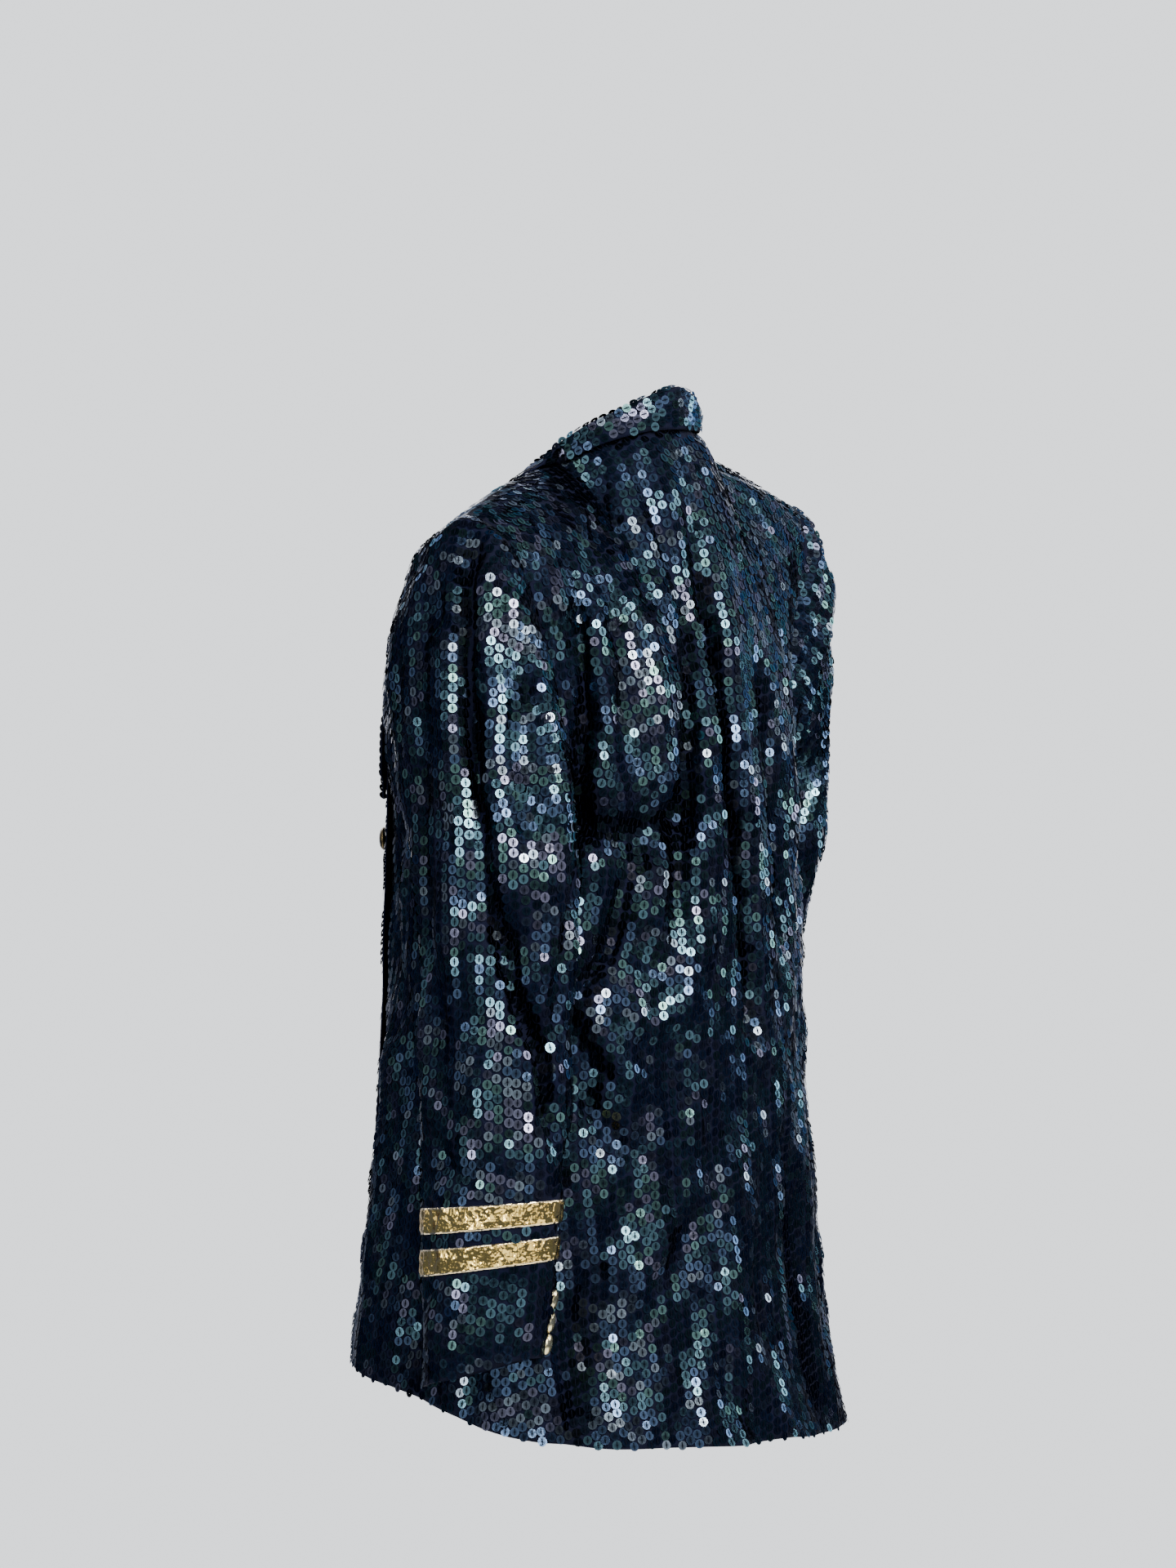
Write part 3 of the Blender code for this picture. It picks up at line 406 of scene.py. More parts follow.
SLEEVE_CREASES = {
    1: (
        Crease(0.0055, 0.007, ((0.04, 0.016), (0.20, 0.022), (0.34, 0.033), (0.50, 0.061), (0.56, 0.100))),
        Crease(0.0055, 0.008, ((0.48, 0.060), (0.55, 0.094), (0.60, 0.150), (0.65, 0.205), (0.73, 0.240))),
        Crease(-0.0035, 0.006, ((0.12, -0.020), (0.26, 0.002), (0.40, 0.006), (0.50, 0.010))),
        Crease(-0.0035, 0.006, ((0.10, 0.055), (0.24, 0.062), (0.38, 0.073), (0.46, 0.100), (0.53, 0.140))),
        Crease(0.0045, 0.006, ((0.22, 0.088), (0.32, 0.100), (0.39, 0.112), (0.46, 0.160))),
        Crease(
            0.0060, 0.009, ((0.12, -0.045), (0.23, -0.056), (0.36, -0.083), (0.48, -0.117), (0.60, -0.120))
        ),
        Crease(0.0040, 0.010, ((0.12, -0.012), (0.19, -0.014), (0.25, -0.012))),
        Crease(0.0040, 0.010, ((0.16, 0.130), (0.24, 0.139), (0.30, 0.150))),
        Crease(0.0035, 0.008, ((0.42, 0.300), (0.52, 0.250), (0.60, 0.180))),
        Crease(-0.0040, 0.009, ((0.58, -0.010), (0.66, 0.030), (0.73, 0.060), (0.77, 0.150))),
        Crease(0.0045, 0.009, ((0.70, -0.110), (0.76, -0.050), (0.79, 0.070))),
        Crease(0.0030, 0.007, ((0.10, -0.100), (0.24, -0.130), (0.40, -0.170))),
        Crease(0.0035, 0.008, ((0.38, -0.360), (0.46, -0.280), (0.52, -0.180))),
    ),
    -1: (
        Crease(0.0035, 0.008, ((0.04, 0.040), (0.20, 0.060), (0.38, 0.085))),
        Crease(-0.0030, 0.008, ((0.08, 0.110), (0.24, 0.125), (0.40, 0.150))),
        Crease(0.0040, 0.007, ((0.40, -0.400), (0.46, -0.280), (0.48, -0.140))),
        Crease(0.0035, 0.007, ((0.48, -0.420), (0.52, -0.300), (0.54, -0.180))),
        Crease(0.0030, 0.008, ((0.44, 0.260), (0.56, 0.200), (0.66, 0.120))),
        Crease(-0.0030, 0.008, ((0.56, 0.020), (0.68, 0.060), (0.78, 0.090))),
        Crease(0.0030, 0.008, ((0.62, -0.100), (0.72, -0.050), (0.80, 0.000))),
        Crease(0.0030, 0.008, ((0.12, -0.080), (0.26, -0.110), (0.40, -0.120))),
    ),
}

# Soft unevenness all over the cloth: shares of a wave each way, in waves a metre
Wave = namedtuple("Wave", "across along depth phase")
WAVES = (
    Wave(17.0, 3.0, 0.0009, 0.4),
    Wave(-13.0, 7.0, 0.0008, 2.1),
    Wave(24.0, -9.0, 0.0005, 4.0),
    Wave(-29.0, -12.0, 0.00045, 1.3),
    Wave(9.0, 16.0, 0.0006, 5.2),
    Wave(38.0, 15.0, 0.0003, 3.3),
    Wave(-34.0, 22.0, 0.0003, 0.9),
)

Rail = namedtuple("Rail", "place rise reach off")
COLLAR = (
    Rail(0.00, 0.0260, 0.008, 0.0030),
    Rail(0.25, 0.0165, 0.011, 0.0030),
    Rail(0.50, 0.0070, 0.025, 0.0030),
    Rail(0.75, 0.0060, 0.032, 0.0030),
    Rail(1.00, 0.0050, 0.036, 0.0030),
)

Lapel = namedtuple("Lapel", "place reach")
LAPEL = (
    Lapel(0.00, 0.004),
    Lapel(0.30, 0.034),
    Lapel(0.60, 0.060),
    Lapel(0.85, 0.078),
    Lapel(1.00, 0.086),
)

# Sequin tints, and how common each one is
Tint = namedtuple("Tint", "share colour")
TINTS = (
    Tint(0.30, (0.024, 0.038, 0.064)),
    Tint(0.30, (0.028, 0.054, 0.066)),
    Tint(0.12, (0.032, 0.062, 0.058)),
    Tint(0.12, (0.050, 0.050, 0.072)),
    Tint(0.16, (0.060, 0.074, 0.088)),
)

# Soft lamps. Azimuth 0 is straight behind the wearer and 90 to the wearer's left. Width and height
# in metres, glow in watts a square metre a steradian
Lamp = namedtuple("Lamp", "name azimuth elevation distance width height glow colour")
LAMPS = (
    Lamp("window", 24.0, 30.0, 2.7, 0.46, 1.60, 64.0, (1.0, 0.99, 0.96)),
    Lamp("left_window", 100.0, 13.0, 2.9, 0.40, 1.60, 24.0, (0.94, 0.97, 1.0)),
    Lamp("back_panel", -38.0, 28.0, 2.9, 0.35, 1.20, 18.0, (0.95, 0.98, 1.0)),
    Lamp("upper_window", 46.0, 37.0, 2.8, 0.42, 0.80, 34.0, (0.92, 0.97, 1.0)),
    Lamp("high_window", 50.0, 58.0, 2.8, 0.34, 0.50, 34.0, (0.94, 0.97, 1.0)),
    Lamp("near_panel", 70.0, 5.0, 2.9, 1.20, 1.60, 2.3, (0.92, 0.98, 0.98)),
    Lamp("window_side", 2.0, 10.0, 2.9, 0.80, 1.70, 2.8, (0.94, 0.96, 1.0)),
    Lamp("low_panel", 34.0, -14.0, 2.9, 1.10, 0.40, 1.8, (0.96, 0.96, 1.0)),
    Lamp("side_panel", 130.0, 32.0, 2.9, 0.60, 0.90, 3.5, (0.94, 0.98, 1.0)),
    Lamp("far_panel", -78.0, 10.0, 2.9, 0.60, 1.30, 2.0, (0.96, 0.97, 1.0)),
    Lamp("right_window", -57.0, 9.0, 2.9, 0.42, 0.80, 26.0, (0.94, 0.98, 1.0)),
    Lamp("front_panel", 196.0, 30.0, 3.0, 0.90, 1.40, 5.0, (0.96, 0.98, 1.0)),
    Lamp("front_side_panel", 238.0, 22.0, 3.0, 0.60, 1.50, 7.0, (0.96, 0.98, 1.0)),
    Lamp("high_wall", 78.0, 36.0, 3.0, 1.30, 0.90, 1.5, (0.90, 0.98, 0.98)),
    Lamp("middle_wall", 36.0, 4.0, 3.1, 1.20, 1.60, 1.8, (0.92, 0.97, 1.0)),
    Lamp("back_high_wall", -14.0, 34.0, 3.0, 1.30, 1.00, 1.0, (0.92, 0.96, 1.0)),
    Lamp("side_low_wall", 112.0, 4.0, 3.0, 1.20, 1.60, 1.6, (0.92, 0.98, 0.98)),
    Lamp("right_high_wall", -60.0, 32.0, 3.0, 1.30, 1.20, 1.3, (0.94, 0.96, 1.0)),
    Lamp("front_left_wall", 156.0, 12.0, 3.0, 1.20, 1.40, 1.0, (0.94, 0.96, 1.0)),
    Lamp("far_wall", 234.0, 4.0, 2.6, 4.20, 3.00, 0.50, (1.0, 0.99, 0.98)),
    Lamp("right_wall", -112.0, 26.0, 3.0, 4.20, 4.20, 1.70, (1.0, 0.98, 0.97)),
)
LAMP_TARGET = (0.0, 0.02, -0.33)

# Cut sizes: width and length of the piece laid flat, its area without what is cut away, and
# how it is held
Cut = namedtuple("Cut", "width length area held")


def read(table, column, where):
    """One column of a table, read smoothly at any place along its first column."""
    knots = np.array([row[0] for row in table])
    values = np.array([getattr(row, column) for row in table])
    slopes = np.gradient(values, knots)
    where = np.clip(where, knots[0], knots[-1])
    i = np.clip(np.searchsorted(knots, where) - 1, 0, len(knots) - 2)
    span = knots[i + 1] - knots[i]
    t = (where - knots[i]) / span
    return (
        values[i] * (1 + 2 * t) * (1 - t) ** 2
        + values[i + 1] * t * t * (3 - 2 * t)
        + span * slopes[i] * t * (1 - t) ** 2
        - span * slopes[i + 1] * t * t * (1 - t)
    )


def ease(t):
    t = np.clip(t, 0.0, 1.0)
    return t * t * (3 - 2 * t)


def mix(a, b, t):
    return a + (b - a) * t


def points(x, y, z):
    return np.stack(np.broadcast_arrays(x, y, z), axis=-1)


def unit(vectors):
    return vectors / np.linalg.norm(vectors, axis=-1, keepdims=True)


def along_fold(share):
    """1 along a fold or crease, and 0 at its two ends."""
    return ease(4 * share) * ease(4 * (1 - share))


def torso_fold(height, angle):
    """How far the cloth lies inside its plain section."""
    inward = 0.0
    for fold in TORSO_FOLDS:
        share = (fold.top - height) / (fold.top - fold.low)
        centre = mix(fold.top_angle, fold.low_angle, share)
        turned = (angle - centre + 180.0) % 360.0 - 180.0
        across = np.radians(turned) * FOLD_RADIUS
        inward = inward + fold.depth * along_fold(share) * np.exp(-((across / fold.width) ** 2))
    return inward


def section(height):
    """The body's half width at a height, its axis, and its depths behind and in front of that."""
    axis = read(TORSO, "axis_y", height)
    back = read(TORSO, "back_y", height) - axis
    front = axis - read(TORSO, "front_y", height)
    return read(TORSO, "half_width", height), axis, back, front


def level_point(height, angle):
    """A point of the body's level section, with its folds."""
    width, axis, back, front = section(height)
    sine, cosine = np.sin(np.radians(angle)), np.cos(np.radians(angle))
    depth = np.where(cosine > 0, back, front)
    fold = torso_fold(height, angle)
    return points((width - fold) * sine, axis + (depth - fold) * cosine, height)


def hem_height(angle):
    return read(HEM_LINE, "height", (angle + 180.0) % 360.0 - 180.0)


def shoulder_point(side, share):
    """The shoulder seam, from the neck, 0, to the shoulder tip, 1."""
    x = mix(NECK_HALF_WIDTH, SHOULDER_X, share)
    z = mix(NECK_SIDE_HEIGHT[side], SHOULDER_HEIGHT[side], share)
    return points(side * x, SHOULDER_Y * share, z + SHOULDER_ARCH * np.sin(np.pi * share))


def neck_point(side, share):
    """The back neck edge, from the centre back, 0, to the shoulder seam, 1."""
    turn = np.radians(90.0 * share)
    z = mix(NECK_SIDE_HEIGHT[side], NECK_BACK_HEIGHT, np.cos(turn))
    return points(side * NECK_HALF_WIDTH * np.sin(turn), NECK_BACK * np.cos(turn), z)


def roll_x(side, height):
    """How far a front reaches past the centre: its edge below the break, its roll line above."""
    edge = LEFT_EDGE if side > 0 else RIGHT_EDGE
    swing = EDGE_SWING * np.clip((BREAK - height) / (BREAK - HEM), 0.0, 1.0) ** 2
    share = np.clip((height - BREAK) / (NECK_SIDE_HEIGHT[side] - BREAK), 0.0, 1.0)
    return mix(edge + swing, NECK_HALF_WIDTH, share)


def row_place(up):
    """The nominal height of a row below the chest, and its share of the armhole's lower curve."""
    low = np.clip(up / UP_UNDERARM, 0.0, 1.0)
    arm = np.clip((up - UP_UNDERARM) / (UP_CHEST - UP_UNDERARM), 0.0, 1.0)
    turn = np.radians(90.0 * arm)
    height = mix(HEM, UNDERARM, low) + (CHEST - UNDERARM) * (1 - np.cos(turn))
    return height, low, np.sin(turn)


def drift(up, near):
    """How far a column has moved from the side seam to the armhole: near is 1 at the edge."""
    height, _, arm = row_place(up)
    soft = ease((height - DRIFT_FROM) / (CHEST - DRIFT_FROM))
    return mix(soft, arm, near**3)


def body_point(angle, up, top, pull):
    """A point of the body: angle is the signed angle, top the point its column ends at."""
    nominal, low, _ = row_place(up)
    height = nominal + (hem_height(angle) - HEM) * (1 - low)
    below = level_point(height, angle)
    slope = level_point(CHEST + SLOPE_STEP, angle) - level_point(CHEST - SLOPE_STEP, angle)
    slope = slope / (2 * SLOPE_STEP)
    start = level_point(CHEST, angle)
    rise = np.clip((up - UP_CHEST) / (1 - UP_CHEST), 0.0, 1.0)[..., None]
    above = (
        start * (1 + 2 * rise) * (1 - rise) ** 2
        + top * rise * rise * (3 - 2 * rise)
        + CHEST_PULL * slope * rise * (1 - rise) ** 2
        - pull * rise * rise * (1 - rise)
    )
    return np.where(rise > 0, above, below)


def back_point(across, up, gap=0.0):
    """The back panel: across runs from -1, the wearer's right, to 1."""
    across, up = np.broadcast_arrays(across, up)
    share = np.abs(across)
    edge = mix(SIDE, BACK_ARMHOLE, drift(up, share)) - np.degrees(gap / FOLD_RADIUS)
    seam = np.clip((share - NECK_SHARE) / (1 - NECK_SHARE), 0.0, 1.0)
    neck = np.clip(share / NECK_SHARE, 0.0, 1.0)
    left = (across >= 0)[..., None]
    shoulder = np.where(left, shoulder_point(1, seam), shoulder_point(-1, seam))
    beside = np.where(left, neck_point(1, neck), neck_point(-1, neck))
    top = np.where((share > NECK_SHARE)[..., None], shoulder, beside)
    level = ease(neck)[..., None]
    pull = mix(np.array(BACK_NECK_PULL), np.array(BACK_SHOULDER_PULL), level)
    return body_point(across * edge, up, top + np.array((0.0, gap, 0.0)), pull)


def front_point(side, across, up, gap=0.0):
    """A front panel: across runs from 0, the side seam and armhole, to 1, the edge or roll line."""
    across, up = np.broadcast_arrays(across, up)
    height, _, _ = row_place(up)
    start = mix(SIDE, FRONT_ARMHOLE, drift(up, 1 - across)) + np.degrees(gap / FOLD_RADIUS)
    width = read(TORSO, "half_width", height)
    end = FRONT - np.degrees(np.arcsin(roll_x(side, height) / width))
    top = shoulder_point(side, 1 - across) - np.array((0.0, gap, 0.0))
    found = body_point(side * mix(start, end, across), up, top, np.array(FRONT_SHOULDER_PULL))
    if side < 0:
        own = -found[..., 0]
        over = ease((LAYER_FROM - own) / (LAYER_FROM - LAYER_TO))
        over = over * ease((LAYER_TOP - found[..., 2]) / (LAYER_TOP - LAYER_FULL))
        found = found - points(0.0, LAYER * over, 0.0)
    return found


def outward(surface, first, second, flip=1.0):
    """The unit normal of surface(first, second), from its slopes."""
    step = 0.002
    a = surface(first + step, second) - surface(first - step, second)
    b = surface(first, second + step) - surface(first, second - step)
    return flip * unit(np.cross(a, b))


def armhole_point(side, turn):
    """The armhole edge, from the shoulder tip down the back and up the front."""
    turn = turn % 1.0
    fall = np.where(turn < 0.5, turn, 1 - turn) / 0.5
    up = 1 - (1 - UP_UNDERARM) * fall
    back = back_point(side * np.ones_like(up), up)
    front = front_point(side, np.zeros_like(up), up)
    if side < 0:
        front[..., 1] = np.minimum(front[..., 1], back[..., 1])
    return np.where((turn < 0.5)[..., None], back, front)


def sleeve_ring(side, turn, place):
    """The sleeve's plain oval, without its folds or the armhole's shape."""
    table = SLEEVES[side]
    inner_x, inner_z = read(table, "inner_x", place), read(table, "inner_z", place)
    outer_x, outer_z = read(table, "outer_x", place), read(table, "outer_z", place)
    centre_y = read(table, "centre_y", place)
    deep = read(table, "half_deep", place)
    lean = np.radians(read(table, "lean", place))
    cosine, sine = np.cos(2 * np.pi * turn), np.sin(2 * np.pi * turn)
    x = (inner_x + outer_x) / 2 + (outer_x - inner_x) / 2 * cosine
    y = centre_y + deep * np.cos(lean) * sine
    z = (inner_z + outer_z) / 2 + (outer_z - inner_z) / 2 * cosine
    return points(side * x, y, z - deep * np.sin(lean) * sine)


def sleeve_fold(side, turn, place):
    """How far the sleeve's cloth lies inside its plain oval."""
    inward = 0.0
    for fold in SLEEVE_FOLDS[side]:
        share = (place - fold.top) / (fold.low - fold.top)
        centre = mix(fold.top_turn, fold.low_turn, share)
        turned = (turn - centre + 0.5) % 1.0 - 0.5
        across = turned * 2 * np.pi * read(SLEEVES[side], "half_deep", place)
        inward = inward + fold.depth * along_fold(share) * np.exp(-((across / fold.width) ** 2))
    return inward


def sleeve_point(side, turn, place):
    """The outer face of a sleeve."""
    turn, place = np.broadcast_arrays(turn, place)
    oval = sleeve_ring(side, turn, place)
    centre = (oval + sleeve_ring(side, turn + 0.5, place)) / 2
    oval = oval - unit(oval - centre) * sleeve_fold(side, turn, place)[..., None]
    shape = armhole_point(side, turn) - sleeve_ring(side, turn, np.zeros_like(place))
    keep = 1 - ease(place / CAP_FADE)
    return oval + shape * keep[..., None] + points(side * SEAM, 0.0, 0.0)


def crease_depth(creases, first, second, scale):
    """How deep small creases press in at (first, second), which scale turns into metres."""
    inward = np.zeros(np.broadcast(first, second).shape)
    for crease in creases:
        path = np.array(crease.path, float) * scale
        spans = np.linalg.norm(np.diff(path, axis=0), axis=1)
        along = np.concatenate(([0.0], np.cumsum(spans))) / spans.sum()
        nearest = np.full(inward.shape, np.inf)
        fade = np.zeros(inward.shape)
        for i, span in enumerate(spans):
            step = (path[i + 1] - path[i]) / span
            a, b = first * scale[0] - path[i][0], second * scale[1] - path[i][1]
            run = np.clip(a * step[0] + b * step[1], 0.0, span)
            away = np.hypot(a - run * step[0], b - run * step[1])
            share = mix(along[i], along[i + 1], run / span)
            fade = np.where(away < nearest, along_fold(share), fade)
            nearest = np.minimum(nearest, away)
        inward = inward + crease.depth * fade * np.exp(-((nearest / crease.width) ** 2))
    return inward


def unevenness(across, along):
    """The soft waves all over the cloth, at places in metres."""
    total = 0.0
    for wave in WAVES:
        turns = wave.across * across + wave.along * along
        total = total + wave.depth * np.sin(2 * np.pi * turns + wave.phase)
    return total


def grid_normals(grid):
    """The normal at each point of a grid."""
    return unit(np.cross(np.gradient(grid, axis=1), np.gradient(grid, axis=0)))


def body_angle(spots):
    """The angle round the body of each point, 0 at the centre back."""
    width, axis, back, front = section(spots[..., 2])
    y = spots[..., 1] - axis
    return np.degrees(np.arctan2(spots[..., 0] / width, y / np.where(y > 0, back, front)))


def crease_body(grid, normals, calm):
    """Presses the small creases into a body panel. Where calm is 1 the cloth lies smooth."""
    height, angle = grid[..., 2], body_angle(grid)
    depth = crease_depth(BODY_CREASES, height, angle, BODY_SCALE)
    depth = depth + unevenness(angle * BODY_SCALE[1], height)
    return grid - normals * (depth * (1 - calm))[..., None]


def beside_seams(near, up):
    """1 along the shoulder and armhole seams, where panels meet, and 0 away from them."""
    armhole = ease((near - ARMHOLE_CALM) / (1 - ARMHOLE_CALM))
    armhole = armhole * ease((up - UP_UNDERARM + ARMHOLE_FADE) / ARMHOLE_FADE)
    return np.maximum(armhole, ease((up - SHOULDER_CALM) / SHOULDER_FADE))


def back_grid():
    """The back's face, its rows from the hem up."""
    across = np.linspace(-1.0, 1.0, BACK_COLUMNS + 1)[None, :]
    up = np.linspace(0.0, 1.0, BODY_ROWS + 1)[:, None]
    grid = back_point(across, up, -SEAM_LAP / 2)
    return crease_body(grid, -grid_normals(grid), beside_seams(np.abs(across), up))


def front_grid(side):
    """A front's face, its rows from the hem up."""
    across = np.linspace(0.0, 1.0, FRONT_COLUMNS + 1)[None, :]
    up = np.linspace(0.0, 1.0, BODY_ROWS + 1)[:, None]
    grid = front_point(side, across, up, -SEAM_LAP / 2)
    overlap = ease((OVERLAP_X - side * grid[..., 0]) / OVERLAP_FADE)
    calm = np.maximum(OVERLAP_CALM * overlap, beside_seams(1 - across, up))
    return crease_body(grid, -side * grid_normals(grid), calm)


def sleeve_places():
    """The places of a sleeve's grid: laid open along the underarm, its rows from the cuff up."""
    turn = np.linspace(-0.5, 0.5, SLEEVE_TURNS + 1)[None, :]
    return turn, np.linspace(1.0, 0.0, SLEEVE_ROWS + 1)[:, None]


def sleeve_creases(side, turn, place):
    """How deep a sleeve's small creases press in."""
    return crease_depth(SLEEVE_CREASES[side], place, turn, (SLEEVE_LENGTH, SLEEVE_AROUND))


def sleeve_grid(side):
    """A sleeve's face."""
    turn, place = sleeve_places()
    lap = SEAM_LAP * (1 - ease(place / LAP_FADE))
    grid = sleeve_point(side, turn, place) - points(side * lap, 0.0, 0.0)
    depth = sleeve_creases(side, turn, place)
    along = place * SLEEVE_LENGTH
    around = unevenness(SLEEVE_RADIUS * np.cos(2 * np.pi * turn), along)
    around = around + unevenness(SLEEVE_RADIUS * np.sin(2 * np.pi * turn), 1 + along)
    upper, lower = STRIPE_ZONE
    stripes = ease((place - upper) / STRIPE_ZONE_FADE) * ease((lower - place) / STRIPE_ZONE_FADE)
    calm = np.maximum(1 - ease(place / CAP_CALM), STRIPE_CALM * stripes)
    return grid - side * grid_normals(grid) * ((depth + around) * (1 - calm))[..., None]


def collar_rails(side, place):
    """The collar's sewn edge, its lower edge and the way out from one to the other."""
    behind = np.clip(place / 0.5, 0.0, 1.0)
    ahead = np.clip((place - 0.5) / 0.5, 0.0, 1.0)
    reach, off = read(COLLAR, "reach", place), read(COLLAR, "off", place)
    spread = reach / (SHOULDER_X - NECK_HALF_WIDTH)
    across = side * (NECK_SHARE * behind + (1 - NECK_SHARE) * spread * behind**2)
    drop = 1 - reach / TOP_LENGTH * (1 - UP_CHEST) * (1 - behind**2)
    up = 1 - ahead * (1 - UP_CHEST) * COLLAR_FRONT_END
    own_front = lambda a, u: front_point(side, a, u)
    is_behind = (place <= 0.5)[..., None]
    seam = np.where(is_behind, neck_point(side, behind), own_front(1 + 0 * up, up))
    laid = np.where(is_behind, back_point(across, drop), own_front(1 - spread, up))
    back_normal = outward(back_point, across, drop, -1)
    front_normal = outward(own_front, 1 - spread, up, -side)
    ahead = ease((place - COLLAR_SIDE_FROM) / COLLAR_SIDE_SPAN)[..., None]
    normal = unit(mix(back_normal, front_normal, ahead))
    fall = laid + normal * off[..., None]
    away = unit(fall - seam)
    return seam - away * COLLAR_SEAT, fall, away


def collar_grid():
    """The collar's face, each row once round its section: up the stand, over and down the fall."""
    place = np.linspace(-1.0, 1.0, COLLAR_STEPS + 1)
    halves = []
    for side in (1, -1):
        seam, fall, away = collar_rails(side, np.clip(side * place, 0.0, 1.0))
        level = unit(away * np.array((1.0, 1.0, 0.0)))
        upright = np.array((0.0, 0.0, 1.0))
        rise = read(COLLAR, "rise", np.clip(side * place, 0.0, 1.0))[..., None]
        top = seam + upright * rise
        line = [mix(seam, top, t) for t in np.linspace(0, 1, STAND_ROWS)]
        for turn in np.radians(np.linspace(*COLLAR_FOLD_TURN, FOLD_ROWS)):
            out = level * (1 - np.cos(turn)) + upright * np.sin(turn)
            line.append(top + COLLAR_FOLD_RADIUS * out)
        over = top + 2 * COLLAR_FOLD_RADIUS * level
        for t in np.linspace(0, 1, FALL_ROWS):
            line.append(mix(over, fall, t) + level * COLLAR_BOW * np.sin(np.pi * t))
        halves.append(np.stack(line, axis=0))
    grid = np.where((place < 0)[None, :, None], halves[1], halves[0])
    along, down = place * COLLAR_HALF_LENGTH, np.linspace(0, COLLAR_DEPTH, grid.shape[0])
    wave = unevenness(along[None, :], down[:, None])
    return grid + grid_normals(grid) * (COLLAR_WAVE * wave)[..., None]


def row_length(side, up):
    """The length of a front panel's row, from its outer edge to its inner one."""
    across = np.linspace(0, 1, ROW_STEPS).reshape((ROW_STEPS,) + (1,) * np.ndim(up))
    row = front_point(side, across, up)
    return np.linalg.norm(np.diff(row, axis=0), axis=-1).sum(axis=0)


def lapel_grid(side):
    """A lapel, folded back on its front: columns run from the roll line to the outer edge."""
    across = np.linspace(0.0, 1.0, LAPEL_COLUMNS + 1)[None, :]
    place = np.linspace(0.0, 1.0, LAPEL_ROWS + 1)[:, None]
    full = mix(LAPEL_START[side], 1.0, place)
    base = mix(LAPEL_LOW_UP, LAPEL_TOP_UP, full)
    up = base + LAPEL_PEAK_RISE * across * place**6
    along = 1 - across * read(LAPEL, "reach", full) / row_length(side, base)
    normal = outward(lambda a, u: front_point(side, a, u), along, up, -side)
    roll = LAPEL_ROLL[side] * (1 - across) ** 2 * ease(4 * place)
    wave = LAPEL_WAVE * unevenness(across * LAPEL_WIDTH, place * LAPEL_LENGTH)
    return front_point(side, along, up) + normal * (LAPEL_RISE + roll + wave)[..., None]


def quad_mesh(name, spots, quads):
    """A mesh from arrays of points and of four-sided faces."""
    mesh = bpy.data.meshes.new(name)
    spots = spots.reshape(-1, 3)
    mesh.vertices.add(len(spots))
    mesh.vertices.foreach_set("co", spots.reshape(-1))
    mesh.loops.add(4 * len(quads))
    mesh.loops.foreach_set("vertex_index", quads.reshape(-1))
    mesh.polygons.add(len(quads))
    mesh.polygons.foreach_set("loop_start", np.arange(len(quads)) * 4)
    mesh.update(calc_edges=True)
    return mesh


def grid_quads(rows, columns, closed=False):
    """Four-sided faces between the points of a grid."""
    across = np.arange(columns if closed else columns - 1)
    start = np.arange(rows - 1)[:, None] * columns
    low = (start + across).reshape(-1)
    after = (start + (across + 1) % columns).reshape(-1)
    return np.stack((low, after, after + columns, low + columns), axis=1)


def add_piece(name, mesh, materials):
    """Puts a mesh in the scene. It rides with the garment's one body."""
    piece = bpy.data.objects.new(name, mesh)
    for material in materials:
        mesh.materials.append(material)
    bpy.context.scene.collection.objects.link(piece)
    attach(piece, "root")
    return piece


def thicken(piece, thickness):
    """Gives a piece a wall inside its outer face."""
    wall = piece.modifiers.new("wall", "SOLIDIFY")
    wall.thickness = thickness
    wall.offset = -1.0
    wall.use_even_offset = False


def add_cloth(name, grid, out, material, closed=False):
    """A panel's cloth, with its thickness inside the given outer face."""
    if closed:
        grid = grid[:, :-1]
    mesh = quad_mesh(name, grid, grid_quads(*grid.shape[:2], closed))
    if out < 0:
        mesh.flip_normals()
    mesh.shade_smooth()
    piece = add_piece(name, mesh, [material])
    thicken(piece, CLOTH)
    return piece


def sample(grid, row, column):
    """A grid's values at fractions of its rows and columns."""
    r = np.clip(row.astype(int), 0, grid.shape[0] - 2)
    c = np.clip(column.astype(int), 0, grid.shape[1] - 2)
    s, t = (row - r)[:, None], (column - c)[:, None]
    low = mix(grid[r, c], grid[r, c + 1], t)
    return mix(low, mix(grid[r + 1, c], grid[r + 1, c + 1], t), s)


